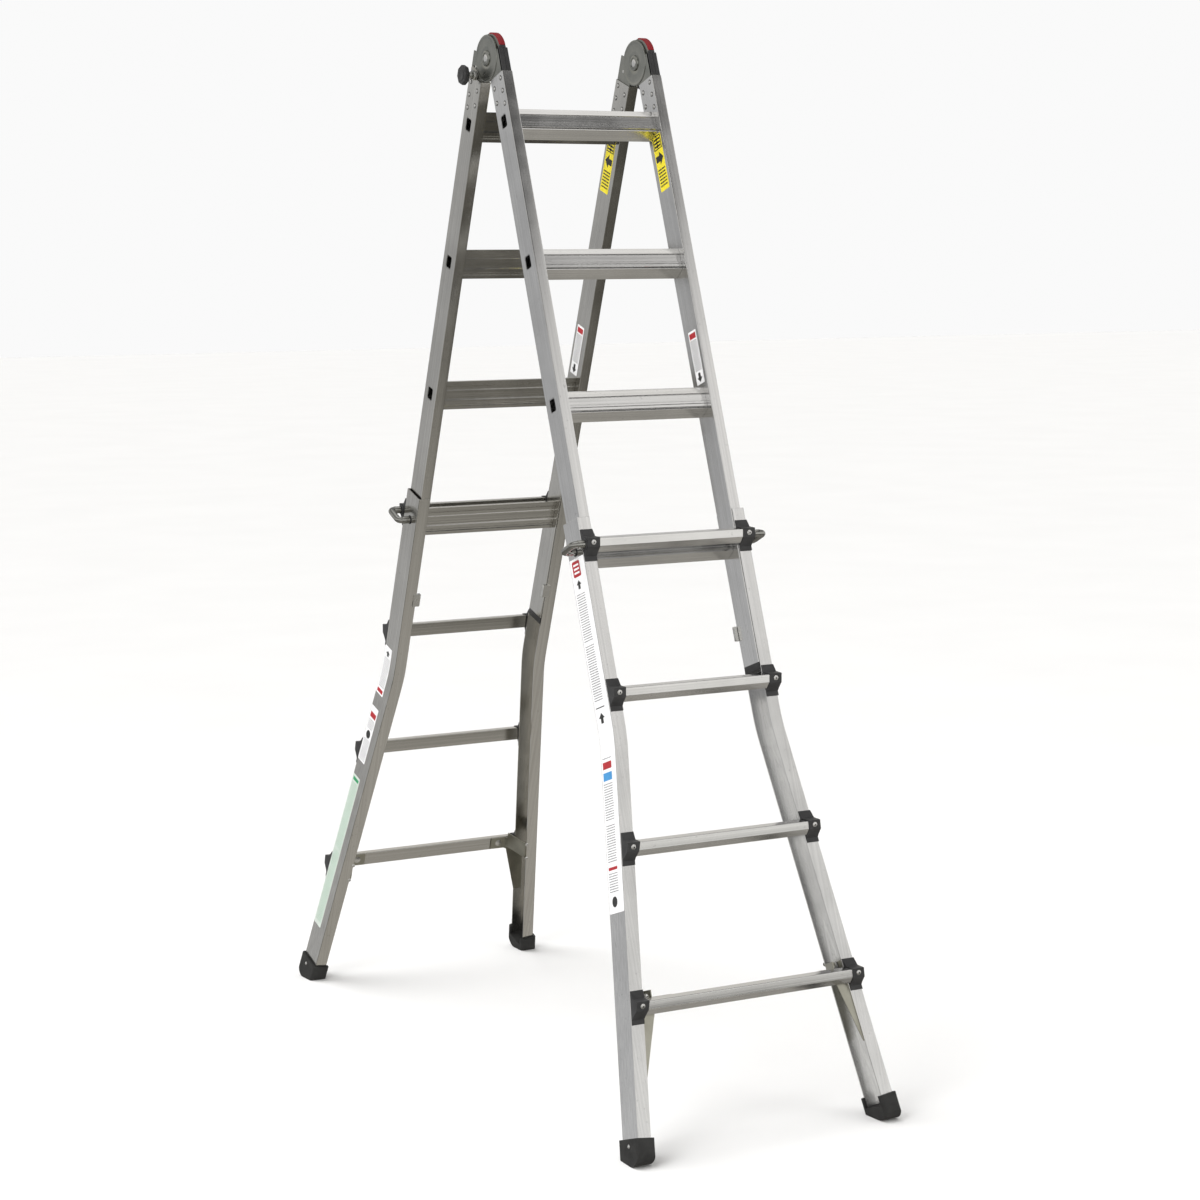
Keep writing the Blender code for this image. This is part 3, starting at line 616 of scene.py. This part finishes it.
def add_lock_handles(half, finishes):
    """The J handles as one bent round bar each, with a sleeve on each prong, in place of their CAD nodes."""
    for label, side in sides_of(half):
        bm = bmesh.new()
        add_bar(bm, handle_route(), HANDLE_RADIUS)
        for y, depth in ((GUIDE_Y, GUIDE_DEPTH), (PIN_Y, PIN_DEPTH)):
            add_turned(bm, facing_x(0.0, y, depth), PRONG_SLEEVE, sides=FINE)
        body = f"{half}_rung_lock_handle_{label}"
        made = piece(f"{half}_lock_handle_{label}", bm, half, (side,), body, finishes["zinc"])
        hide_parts(f"{half}_rung_lock_{label}")


def add_guide_clips(half, finishes):
    """The small clips on the back edges of the outer rails that steady the inner ones."""
    bm = bmesh.new()
    add_loft(bm, [[(x + inwards, y, -depth) for x, y in CLIP] for depth, inwards in CLIP_SECTIONS])
    body = section(half, "outer")
    piece(f"{half}_guide_clips", bm, half, BOTH, body, finishes["bright_sheet_and_painted_highlight"])


def add_brace_ribs(half, finishes):
    """The bulged rib pressed into the strut of each knee brace, in a lighter metal than the strut: painted
    highlight.
    """
    bm = bmesh.new()
    depth = STEP_1_DEPTH + (LEVELS - 1) * PITCH
    rail_edge = OUTER_OUT + flare_at(depth) - OUTER_WIDTH
    first, last = (Vector((rail_edge - inwards, y, RIB_RISE - depth)) for inwards, y in RIB_ENDS)
    out = Vector((0, 0, 1)).cross(last - first).normalized()
    loops = []
    for share, size in RIB_SECTIONS:
        middle = first.lerp(last, share)
        loop = []
        for i in range(COARSE + 1):
            angle = math.pi * i / COARSE
            height = RIB_HALF_HEIGHT * math.cos(angle) * (0.5 + size / 2)
            loop.append(middle + Vector((0, 0, height)) + out * (RIB_BULGE * math.sin(angle) * size))
        loops.append(loop)
    add_loft(bm, loops)
    body = section(half, "outer")
    piece(f"{half}_brace_ribs", bm, half, BOTH, body, finishes["bright_sheet_and_painted_highlight"])


# Hinge fittings. Outlines are (y, z), with the hinge line at the origin, and single places are (y, depth)

DISC_FACE = (
    (-0.0003, 0.0484), (0.0004, 0.0482), (0.0010, 0.0474), (0.0011, 0.0450), (0.0006, 0.0436),
    (0.0004, 0.0400), (0.0006, 0.0260), (0.0009, 0.0185), (0.0004, 0.0175), (0.0004, 0.0166),
    (0.0022, 0.0160), (0.0030, 0.0146), (0.0030, 0.0112), (0.0022, 0.0104),
)
DISC_SCREW_PLACE = (0.0400, 0.0300)
CAP_OUTER_RADIUS = ARC_RADIUS + 0.0009
CAP_INNER_RADIUS = ARC_RADIUS - 0.0020
CAP_END_ANGLE = 76
CAP_FOOT = 0.0046
CAP_FOOT_CORNERS = [(ARM_FACE + 0.0007, CAP_FOOT), (ARM_FACE - 0.0022, CAP_FOOT)]
CAP_SPAN = (CORE_START - 0.0001, CORE_END + 0.0001)
UPPER_GUARD = (
    (ARM_FACE - 0.0060, 0.0040), (ARM_FACE + 0.0005, 0.0040),
    (ARM_FACE + 0.0009, -0.0010), (ARM_FACE - 0.0060, -0.0010),
)
LOWER_GUARD = (
    (ARM_FACE - 0.0060, -0.0014), (ARM_FACE + 0.0009, -0.0014),
    (ARM_FACE + 0.0014, -0.0522), (ARM_FACE - 0.0060, -0.0522),
)
LOWER_GUARD_SPANS = ((ARM_INSIDE, 0.1766), (0.1774, ARM_OUTSIDE))
CHEEK_TOP = (ARM_FACE - 0.0015, -0.0020)
CHEEK_ANGLES = (-2, -82)
CHEEK_FOOT = ((0.0068, -0.0526), (ARM_FACE - 0.0015, -0.0526))
SLAB_EDGE = 0.0006
THIN_EDGE = 0.0004
LOCK_PLATE = (
    (0.0230, -0.0395), (0.0300, -0.0340), (0.0520, -0.0300),
    (0.0575, -0.0350), (0.0560, -0.0525), (0.0250, -0.0525),
)
LOCK_PLATE_START = DISC_OUTSIDE + 0.0009
LOCK_PLATE_THICK = 0.0016
LOCK_RIVET_X = DISC_OUTSIDE + 0.0020
LOCK_RIVET_PLACE = (0.0300, 0.0455)
LOCK_NUT = ((0.1895, 0.0100), (0.1902, 0.0108), (0.1930, 0.0108), (0.1937, 0.0100))
SLEEVE_RIB = ((0.0, 0.0062), (0.0004, 0.0072), (0.0016, 0.0072), (0.0020, 0.0062))
SLEEVE_RIBS = 5
SLEEVE_RIB_PITCH = 0.0026
SLEEVE_RIBS_START = 0.1937
KNOB_RING = ((-0.0004, 0.0130), (0.0004, 0.0128), (0.0009, 0.0118), (0.0009, 0.0090), (0.0004, 0.0080))


def add_hinge_faces(finishes):
    """The raised rim and boss on both faces of each hinge, and the small screws under them."""
    bm = bmesh.new()
    screws = bmesh.new()
    for x, inwards in ((DISC_OUTSIDE, False), (DISC_INSIDE, True)):
        add_turned(bm, facing_x(x, inwards=inwards), DISC_FACE, sides=2 * FINE)
        add_turned(screws, facing_x(x, *DISC_SCREW_PLACE, inwards), RIVET)
    body = "back_inner_section"
    piece("hinge_disc_faces", bm, "back", BOTH, body, finishes["hinge"])
    piece("hinge_disc_screws", screws, "back", BOTH, body, finishes["bright"])


def arc(centre_y, radius, start, end):
    """Points in (y, z) along an arc about a place on the hinge line, between two angles in degrees."""
    angles = [math.radians(start + (end - start) * i / COARSE) for i in range(COARSE + 1)]
    return [(centre_y + radius * math.cos(a), radius * math.sin(a)) for a in angles]


def add_slab(bm, outline, start, end, edge=SLAB_EDGE):
    """A plate across x on a (y, z) outline, its two rims eased."""
    middle = Vector((0, sum(y for y, _ in outline), sum(z for _, z in outline))) / len(outline)
    loops = []
    for x, inwards in ((start, edge), (start + edge, 0.0), (end - edge, 0.0), (end, edge)):
        loop = []
        for y, z in outline:
            point = Vector((0, y, z))
            point += (middle - point).normalized() * inwards
            loop.append((x, point.y, point.z))
        loops.append(loop)
    add_loft(bm, loops)


def add_hinge_guards(finishes):
    """The red cap over the top of each front hinge arm, and below it the black guard and the cheeks."""
    body = "front_inner_section"
    cap = bmesh.new()
    top = [p for p in arc(ARC_CENTRE_Y, CAP_OUTER_RADIUS, CAP_END_ANGLE, 0) if p[1] > CAP_FOOT]
    under = [p for p in arc(ARC_CENTRE_Y, CAP_INNER_RADIUS, 0, CAP_END_ANGLE) if p[1] > CAP_FOOT]
    add_slab(cap, top + CAP_FOOT_CORNERS + under, *CAP_SPAN)
    piece("hinge_red_caps", cap, "front", BOTH, body, finishes["red"])
    guard = bmesh.new()
    add_slab(guard, UPPER_GUARD, *CAP_SPAN)
    for start, end in LOWER_GUARD_SPANS:
        add_slab(guard, LOWER_GUARD, start, end, THIN_EDGE)
    piece("hinge_black_guards", guard, "front", BOTH, body, finishes["plastic"])
    cheeks = bmesh.new()
    around_disc = arc(0.0, DISC_CLEAR, *CHEEK_ANGLES)
    add_slab(cheeks, [CHEEK_TOP, *around_disc, *CHEEK_FOOT], ARM_INSIDE, ARM_OUTSIDE, THIN_EDGE)
    piece("hinge_cheeks", cheeks, "front", BOTH, body, finishes["hinge"])


def add_hinge_locks(finishes):
    """The plunger housing behind each lock knob: a stamped plate, a hexagonal nut and a ribbed sleeve."""
    body = "back_inner_section"
    plate = bmesh.new()
    add_block(plate, facing_x(LOCK_PLATE_START), LOCK_PLATE, LOCK_PLATE_THICK, SLAB_EDGE)
    add_turned(plate, facing_x(LOCK_RIVET_X, *LOCK_RIVET_PLACE), RIVET)
    piece("hinge_lock_plates", plate, "back", BOTH, body, finishes["zinc"])
    nut = bmesh.new()
    axis = facing_x(0.0, KNOB_Y, KNOB_DEPTH)
    add_turned(nut, axis, LOCK_NUT, sides=HEXAGON)
    starts = [SLEEVE_RIBS_START + i * SLEEVE_RIB_PITCH for i in range(SLEEVE_RIBS)]
    add_turned(nut, axis, [(start + height, radius) for start in starts for height, radius in SLEEVE_RIB])
    piece("hinge_lock_nuts", nut, "back", BOTH, body, finishes["bright"])


def add_knob_faces(finishes):
    """The raised ring on the face of each lock knob."""
    for label, side in sides_of("back"):
        bm = bmesh.new()
        add_turned(bm, facing_x(KNOB_FACE, KNOB_Y, KNOB_DEPTH), KNOB_RING, FINE)
        body = f"hinge_knob_{label}"
        piece(f"hinge_knob_face_{label}", bm, "back", (side,), body, finishes["plastic"])


# Stickers. Places on a rail's face are (y, depth), a line of print is (spacing, height), an arrow is
# (middle, tip, tail, width), and a stem is a share of its arrow's head

SHEET_CORNER = 0.0015
BEND_STATIONS = (BEND_START_DEPTH, 1.4395, 1.4580, BEND_END_DEPTH)
ARROW_STEM = 0.45
BAR_LENGTHS = (0.003, 0.010)
SHORTEST_BAR = 0.001
BAR_GAP = 0.0011
SMALL_PRINT = (0.0050, 0.0016)

FRONT_SPOT = ("front", 1, "front_outer_section")
FRONT_SHEET = ((0.0035, 1.0800), (0.0635, 1.7900))
FRONT_COLUMN = (0.0090, 0.0450)
FRONT_MIDDLE = 0.0270
BADGE = ((0.0110, 1.0850), (0.0430, 1.1170))
BADGE_CORNER = 0.004
BADGE_COLUMN = (0.0160, 0.0380)
BADGE_BARS = ((1.0910, 1.0950), (1.0990, 1.1030), (1.1070, 1.1110))
FRONT_RED_BANDS = ((1.4930, 1.5070), (1.7000, 1.7060))
FRONT_BLUE_BANDS = ((1.5140, 1.5300),)
FRONT_RULES = ((1.3830, 1.3850),)
FRONT_UPPER_ARROW = (FRONT_MIDDLE, 1.1240, 1.1420, 0.0200)
FRONT_LOWER_ARROW = (FRONT_MIDDLE, 1.3950, 1.4160, 0.0240)
FRONT_DOT = (0.0105, (FRONT_MIDDLE, 1.7680))
FRONT_SEED = 4
FRONT_PRINT = (
    (1.1520, 1.2500), (1.2580, 1.3740), (1.4850, 1.4900),
    (1.5360, 1.6100), (1.6180, 1.6940), (1.7120, 1.7500),
)

BACK_SPOT = ("back", -1, "back_outer_section")
BACK_SHEETS = (((0.0280, 1.3950), (0.0640, 1.5150)), ((0.0280, 1.5500), (0.0640, 1.6900)))
BACK_COLUMN = (0.0320, 0.0600)
BACK_MIDDLE = 0.0460
BACK_RED_BANDS = ((1.5020, 1.5110), (1.5650, 1.5780))
BACK_ARROW = (BACK_MIDDLE, 1.4050, 1.4190, 0.0200)
BACK_DOT = (0.0100, (BACK_MIDDLE, 1.6200))
BACK_PRINT = ((1.4240, 1.4960), (1.5840, 1.6060), (1.6340, 1.6860))
PALE_SHEET = ((0.0275, 1.7300), (0.0640, 2.1300))
GREEN_COLUMN = (0.0315, 0.0600)
GREEN_BANDS = ((1.7360, 1.7440),)
GREEN_PRINT = ((1.7500, 1.9200), (1.9300, 2.1200))
GREEN_LINE = (0.0058, 0.0012)
BACK_SEED = 7

INNER_CORNER = 0.002
YELLOW_SHEET = ((0.0180, 0.1780), (0.0540, 0.3000))
YELLOW_FRAME = (0.0200, 0.0520)
YELLOW_FRAME_BANDS = ((0.1800, 0.1822), (0.2080, 0.2100))
YELLOW_UPRIGHTS = (0.0200, 0.0345, 0.0495)
YELLOW_UPRIGHT_WIDTH = 0.0025
YELLOW_RUNGS = ((0.1860, 0.1900), (0.1935, 0.1975), (0.2010, 0.2050))
YELLOW_RUNG_COLUMN = (0.0240, 0.0480)
YELLOW_ARROW = (0.2300, 0.0510, 0.0210, 0.0300)
YELLOW_COLUMN = (0.0215, 0.0505)
YELLOW_PRINT = ((0.2520, 0.2960),)
YELLOW_LINE = (0.0070, 0.0032)
WHITE_SHEET = ((0.0220, 0.6130), (0.0530, 0.7280))
WHITE_COLUMN = (0.0250, 0.0500)
WHITE_RED_BANDS = ((0.6180, 0.6300),)
WHITE_ARROW = (0.0375, 0.7240, 0.7040, 0.0200)
WHITE_PRINT = ((0.6340, 0.7000),)
WHITE_LINE = (0.0042, 0.0016)
INNER_SEED = 11


def face_point(y, depth, lift):
    """A point on an outer rail's outer face, lifted off it."""
    return (OUTER_OUT + flare_at(depth) + lift, y, -depth)


def sheet_loop(low_y, high_y, depth):
    """A sheet's section at one depth."""
    corners = ((low_y, 0.0), (high_y, 0.0), (high_y, SKIN), (low_y, SKIN))
    return [face_point(y, depth, lift) for y, lift in corners]


def add_sheet(bm, low, high):
    """A thin sheet with cut corners that follows an outer rail's outer face, between two corners."""
    (low_y, start), (high_y, end) = low, high
    loops = [
        sheet_loop(low_y + SHEET_CORNER, high_y - SHEET_CORNER, start),
        sheet_loop(low_y, high_y, start + SHEET_CORNER),
    ]
    loops += [sheet_loop(low_y, high_y, depth) for depth in BEND_STATIONS if start < depth < end]
    loops += [
        sheet_loop(low_y, high_y, end - SHEET_CORNER),
        sheet_loop(low_y + SHEET_CORNER, high_y - SHEET_CORNER, end),
    ]
    add_loft(bm, loops)


def add_print(bm, outline, lift=PRINT):
    """A printed patch on an outer rail's outer face."""
    heights = (lift - SKIN, lift)
    add_loft(bm, [[face_point(y, depth, height) for y, depth in outline] for height in heights])


def add_inner_print(bm, outline, lift=PRINT):
    """A printed patch on an inner rail's inner face."""
    heights = (lift - SKIN, lift)
    add_loft(bm, [[(INNER_IN - height, y, -depth) for y, depth in outline] for height in heights])


def arrow_outline(middle, tip, tail, wide):
    """An arrow along the rail, around a y, that points at the tip's depth from the tail's."""
    neck = (tip + tail) / 2
    head = wide / 2
    stem = head * ARROW_STEM
    return [
        (middle, tip), (middle + head, neck), (middle + stem, neck), (middle + stem, tail),
        (middle - stem, tail), (middle - stem, neck), (middle - head, neck),
    ]


def arrow_across(middle, tip, tail, wide):
    """An arrow across the rail, around a depth, that points at the tip's y from the tail's."""
    return [(y, depth) for depth, y in arrow_outline(middle, tip, tail, wide)]


def add_bands(add, bm, column, spans, lift=PRINT):
    """Solid bands as wide as a column of print, between pairs of depths."""
    for start, end in spans:
        add(bm, [(column[0], start), (column[1], start), (column[1], end), (column[0], end)], lift)


def add_bars(add, bm, column, depth, height, rng):
    """One row of short bars that stands for small print."""
    y = column[0]
    while y < column[1]:
        end = min(column[1], y + rng.uniform(*BAR_LENGTHS))
        if end - y > SHORTEST_BAR:
            add_bands(add, bm, (y, end), ((depth, depth + height),))
        y = end + BAR_GAP


def add_text(add, bm, column, spans, line, rng):
    """Rows of small print down a column, between pairs of depths."""
    spacing, height = line
    for depth, end in spans:
        while depth + height < end:
            add_bars(add, bm, column, depth, height, rng)
            depth += spacing


def add_layer(name, bm, spot, finish):
    """One layer of a sticker at a spot, which is (half, side, body)."""
    half, side, body = spot
    piece(name, bm, half, (side,), body, finish)


def add_front_sticker(finishes):
    """The long white sticker down the outer face of the front left rail."""
    sheet = bmesh.new()
    add_sheet(sheet, *FRONT_SHEET)
    add_layer("front_sticker_sheet", sheet, FRONT_SPOT, finishes["paper"])
    red = bmesh.new()
    add_print(red, rounded_box(*BADGE, BADGE_CORNER))
    add_bands(add_print, red, FRONT_COLUMN, FRONT_RED_BANDS)
    add_layer("front_sticker_red", red, FRONT_SPOT, finishes["ink_red"])
    white = bmesh.new()
    add_bands(add_print, white, BADGE_COLUMN, BADGE_BARS, PRINT_ON_PRINT)
    add_layer("front_sticker_white", white, FRONT_SPOT, finishes["paper"])
    blue = bmesh.new()
    add_bands(add_print, blue, FRONT_COLUMN, FRONT_BLUE_BANDS)
    add_layer("front_sticker_blue", blue, FRONT_SPOT, finishes["ink_blue"])
    dark = bmesh.new()
    add_print(dark, arrow_outline(*FRONT_UPPER_ARROW))
    add_bands(add_print, dark, FRONT_COLUMN, FRONT_RULES)
    add_print(dark, arrow_outline(*FRONT_LOWER_ARROW))
    add_print(dark, circle(*FRONT_DOT))
    add_layer("front_sticker_black", dark, FRONT_SPOT, finishes["ink_black_and_painted_shade"])
    grey = bmesh.new()
    add_text(add_print, grey, FRONT_COLUMN, FRONT_PRINT, SMALL_PRINT, random.Random(FRONT_SEED))
    add_layer("front_sticker_grey", grey, FRONT_SPOT, finishes["ink_grey"])


def add_back_stickers(finishes):
    """The two white stickers and the long pale one down the outer face of the back left rail."""
    rng = random.Random(BACK_SEED)
    sheets = bmesh.new()
    for low, high in BACK_SHEETS:
        add_sheet(sheets, low, high)
    add_layer("back_sticker_sheets", sheets, BACK_SPOT, finishes["paper"])
    pale = bmesh.new()
    add_sheet(pale, *PALE_SHEET)
    add_layer("back_sticker_pale_sheet", pale, BACK_SPOT, finishes["pale"])
    red = bmesh.new()
    add_bands(add_print, red, BACK_COLUMN, BACK_RED_BANDS)
    add_layer("back_sticker_red", red, BACK_SPOT, finishes["ink_red"])
    dark = bmesh.new()
    add_print(dark, arrow_outline(*BACK_ARROW))
    add_print(dark, circle(*BACK_DOT))
    add_layer("back_sticker_black", dark, BACK_SPOT, finishes["ink_black_and_painted_shade"])
    grey = bmesh.new()
    add_text(add_print, grey, BACK_COLUMN, BACK_PRINT, SMALL_PRINT, rng)
    add_layer("back_sticker_grey", grey, BACK_SPOT, finishes["ink_grey"])
    green = bmesh.new()
    add_bands(add_print, green, GREEN_COLUMN, GREEN_BANDS)
    add_text(add_print, green, GREEN_COLUMN, GREEN_PRINT, GREEN_LINE, rng)
    add_layer("back_sticker_green", green, BACK_SPOT, finishes["ink_green"])


def inner_black_print():
    """The black print of both inner stickers: a small ladder, two arrows and their small print."""
    bm = bmesh.new()
    rng = random.Random(INNER_SEED)
    add_bands(add_inner_print, bm, YELLOW_FRAME, YELLOW_FRAME_BANDS)
    between = (YELLOW_FRAME_BANDS[0][1], YELLOW_FRAME_BANDS[1][0])
    for y in YELLOW_UPRIGHTS:
        add_bands(add_inner_print, bm, (y, y + YELLOW_UPRIGHT_WIDTH), (between,))
    add_bands(add_inner_print, bm, YELLOW_RUNG_COLUMN, YELLOW_RUNGS)
    add_inner_print(bm, arrow_across(*YELLOW_ARROW))
    add_inner_print(bm, arrow_outline(*WHITE_ARROW))
    add_text(add_inner_print, bm, YELLOW_COLUMN, YELLOW_PRINT, YELLOW_LINE, rng)
    add_text(add_inner_print, bm, WHITE_COLUMN, WHITE_PRINT, WHITE_LINE, rng)
    return bm


def add_inner_stickers(half, finishes):
    """The yellow and the small white sticker on the inner face of one inner rail."""
    spot = (half, -1 if half == "front" else 1, section(half, "inner"))
    yellow = bmesh.new()
    add_inner_print(yellow, rounded_box(*YELLOW_SHEET, INNER_CORNER), SKIN)
    add_layer(f"{half}_yellow_sticker", yellow, spot, finishes["yellow"])
    white = bmesh.new()
    add_inner_print(white, rounded_box(*WHITE_SHEET, INNER_CORNER), SKIN)
    add_layer(f"{half}_white_sticker", white, spot, finishes["paper"])
    red = bmesh.new()
    add_bands(add_inner_print, red, WHITE_COLUMN, WHITE_RED_BANDS)
    add_layer(f"{half}_inner_sticker_red", red, spot, finishes["ink_red"])
    add_layer(f"{half}_inner_sticker_black", inner_black_print(), spot, finishes["ink_black_and_painted_shade"])


def add_all_fittings(finishes):
    """Every fitting and sticker."""
    for half in HALVES:
        add_rivets(half, finishes)
        add_end_plugs(half, finishes)
        add_bracket_screws(half, finishes)
        add_leg_fasteners(half, finishes)
        add_lock_grommets(half, finishes)
        add_lock_handles(half, finishes)
        add_guide_clips(half, finishes)
        add_brace_ribs(half, finishes)
        add_inner_stickers(half, finishes)
    add_hinge_faces(finishes)
    add_hinge_guards(finishes)
    add_hinge_locks(finishes)
    add_knob_faces(finishes)
    add_front_sticker(finishes)
    add_back_stickers(finishes)


# Studio. The surroundings' bands go from straight down, 0, to straight up, 1

IN_FRONT = (
    (0.00, (0.34, 0.325, 0.29)),
    (0.10, (0.40, 0.38, 0.34)),
    (0.165, (0.50, 0.48, 0.445)),
    (0.183, (0.40, 0.385, 0.35)),
    (0.20, (0.09, 0.085, 0.072)),
    (0.33, (0.050, 0.047, 0.038)),
    (0.355, (0.12, 0.115, 0.10)),
    (0.38, (0.80, 0.79, 0.75)),
    (0.45, (0.98, 0.96, 0.92)),
    (0.60, (0.95, 0.94, 0.91)),
    (0.69, (0.64, 0.63, 0.61)),
    (0.735, (1.0, 0.98, 0.95)),
    (0.768, (1.0, 0.98, 0.95)),
    (0.786, 0.03),
    (0.89, 0.03),
    (0.92, (0.98, 0.95, 0.90)),
    (1.00, 0.95),
)
BEHIND = (
    (0.00, (0.34, 0.325, 0.29)),
    (0.30, (0.20, 0.195, 0.18)),
    (0.375, 0.60),
    (0.42, 0.50),
    (0.46, 0.44),
    (0.49, 0.42),
    (0.515, 0.42),
    (0.54, 0.55),
    (0.62, (0.78, 0.75, 0.69)),
    (0.75, 0.35),
    (0.90, 0.20),
    (0.93, (0.95, 0.93, 0.89)),
    (1.00, 0.95),
)
FRONT_TO_BEHIND = (-0.2, 0.4)
BACKDROP = (0.955, 0.955, 0.955, 1)
FLOOR_HALF_SIZE = 40
FLOOR_GREYS = [(0.3, 0.84), (0.7, 0.86)]
SUN_ENERGY = 2.15
SUN_SPREAD = math.radians(50)
SUN_TURN = (math.radians(-18), math.radians(-22), 0)
SOFTBOX_AIM = Vector((0, 0, 1.0))
SOFTBOXES = (("key", (-4.2, -2.2, 3.6), 2.4, 90), ("fill", (3.5, -4.5, 3.0), 3.0, 50))
CAMERA_PLACE = (-2.7942, -5.1970, 1.7287)
CAMERA_YAW = math.radians(28.9145)
CAMERA_PITCH = math.radians(7.2361)
CAMERA_ROLL = math.radians(-0.2914)
CAMERA_LENS = 82.547


def add_floor():
    """A wide pale floor. Metal reflects the studio's darker lower half instead of it."""
    bm = bmesh.new()
    bmesh.ops.create_grid(bm, x_segments=1, y_segments=1, size=FLOOR_HALF_SIZE)
    mesh = bpy.data.meshes.new("floor")
    bm.to_mesh(mesh)
    bm.free()
    made, tree, shader = new_material("floor_paint")
    clouds = noise(tree, object_coordinates(tree), 1.5)
    tree.links.new(ramp(tree, clouds, FLOOR_GREYS), shader.inputs["Base Color"])
    shader.inputs["Roughness"].default_value = 0.8
    mesh.materials.append(made)
    floor = bpy.data.objects.new("floor", mesh)
    floor.visible_glossy = False
    bpy.context.scene.collection.objects.link(floor)


def mapped(tree, value, low, high, interpolation="LINEAR"):
    """A value's place between two others, from 0 to 1."""
    node = tree.nodes.new("ShaderNodeMapRange")
    node.interpolation_type = interpolation
    node.inputs["From Min"].default_value = low
    node.inputs["From Max"].default_value = high
    tree.links.new(value, node.inputs["Value"])
    return node.outputs["Result"]


def surroundings(tree):
    """The colour of the bands by height, which differ in front of the ladder and behind it."""
    coordinates = tree.nodes.new("ShaderNodeTexCoord")
    split = tree.nodes.new("ShaderNodeSeparateXYZ")
    tree.links.new(coordinates.outputs["Generated"], split.inputs["Vector"])
    height = mapped(tree, split.outputs["Z"], -1.0, 1.0)
    around = tree.nodes.new("ShaderNodeMix")
    around.data_type = "RGBA"
    side = mapped(tree, split.outputs["Y"], *FRONT_TO_BEHIND, "SMOOTHSTEP")
    tree.links.new(side, around.inputs["Factor"])
    tree.links.new(ramp(tree, height, IN_FRONT), around.inputs["A"])
    tree.links.new(ramp(tree, height, BEHIND), around.inputs["B"])
    return around.outputs["Result"]


def add_world():
    """A white backdrop to the camera, and the banded surroundings for light and reflections."""
    world = bpy.data.worlds.new("studio")
    world.use_nodes = True
    tree = world.node_tree
    path = tree.nodes.new("ShaderNodeLightPath")
    mix = tree.nodes.new("ShaderNodeMix")
    mix.data_type = "RGBA"
    mix.inputs["B"].default_value = BACKDROP
    tree.links.new(path.outputs["Is Camera Ray"], mix.inputs["Factor"])
    tree.links.new(surroundings(tree), mix.inputs["A"])
    tree.links.new(mix.outputs["Result"], tree.nodes["Background"].inputs["Color"])
    bpy.context.scene.world = world


def add_softbox(name, place, size, energy):
    """A square area light aimed at the middle of the ladder, which metal doesn't reflect."""
    light = bpy.data.lights.new(name, "AREA")
    light.size = size
    light.energy = energy
    item = bpy.data.objects.new(name, light)
    item.location = place
    item.rotation_euler = (SOFTBOX_AIM - Vector(place)).to_track_quat("-Z", "Y").to_euler()
    item.visible_glossy = False
    bpy.context.scene.collection.objects.link(item)


def add_sun():
    """Even soft light on the whole floor, which metal doesn't reflect."""
    light = bpy.data.lights.new("sun", "SUN")
    light.energy = SUN_ENERGY
    light.angle = SUN_SPREAD
    item = bpy.data.objects.new("sun", light)
    item.rotation_euler = SUN_TURN
    item.visible_glossy = False
    bpy.context.scene.collection.objects.link(item)


def add_camera():
    """The photograph's view."""
    ahead = Vector((math.sin(CAMERA_YAW), math.cos(CAMERA_YAW), 0))
    forward = ahead * math.cos(CAMERA_PITCH) - Vector((0, 0, math.sin(CAMERA_PITCH)))
    level_right = Vector((math.cos(CAMERA_YAW), -math.sin(CAMERA_YAW), 0))
    level_up = level_right.cross(forward)
    right = level_right * math.cos(CAMERA_ROLL) + level_up * math.sin(CAMERA_ROLL)
    up = level_up * math.cos(CAMERA_ROLL) - level_right * math.sin(CAMERA_ROLL)
    camera = bpy.data.cameras.new("camera")
    camera.sensor_width = 36
    camera.lens = CAMERA_LENS
    item = bpy.data.objects.new("camera", camera)
    turn = Matrix((right, up, -forward)).transposed().to_4x4()
    item.matrix_world = Matrix.Translation(CAMERA_PLACE) @ turn
    bpy.context.scene.collection.objects.link(item)
    bpy.context.scene.camera = item


def add_studio():
    """Floor, surroundings, lights and camera."""
    add_floor()
    add_world()
    add_sun()
    for name, place, size, energy in SOFTBOXES:
        add_softbox(name, place, size, energy)
    add_camera()
    bpy.context.scene.view_settings.view_transform = "Standard"


FINISHES = all_materials()
finish_cad_nodes(FINISHES)
add_all_fittings(FINISHES)
add_studio()
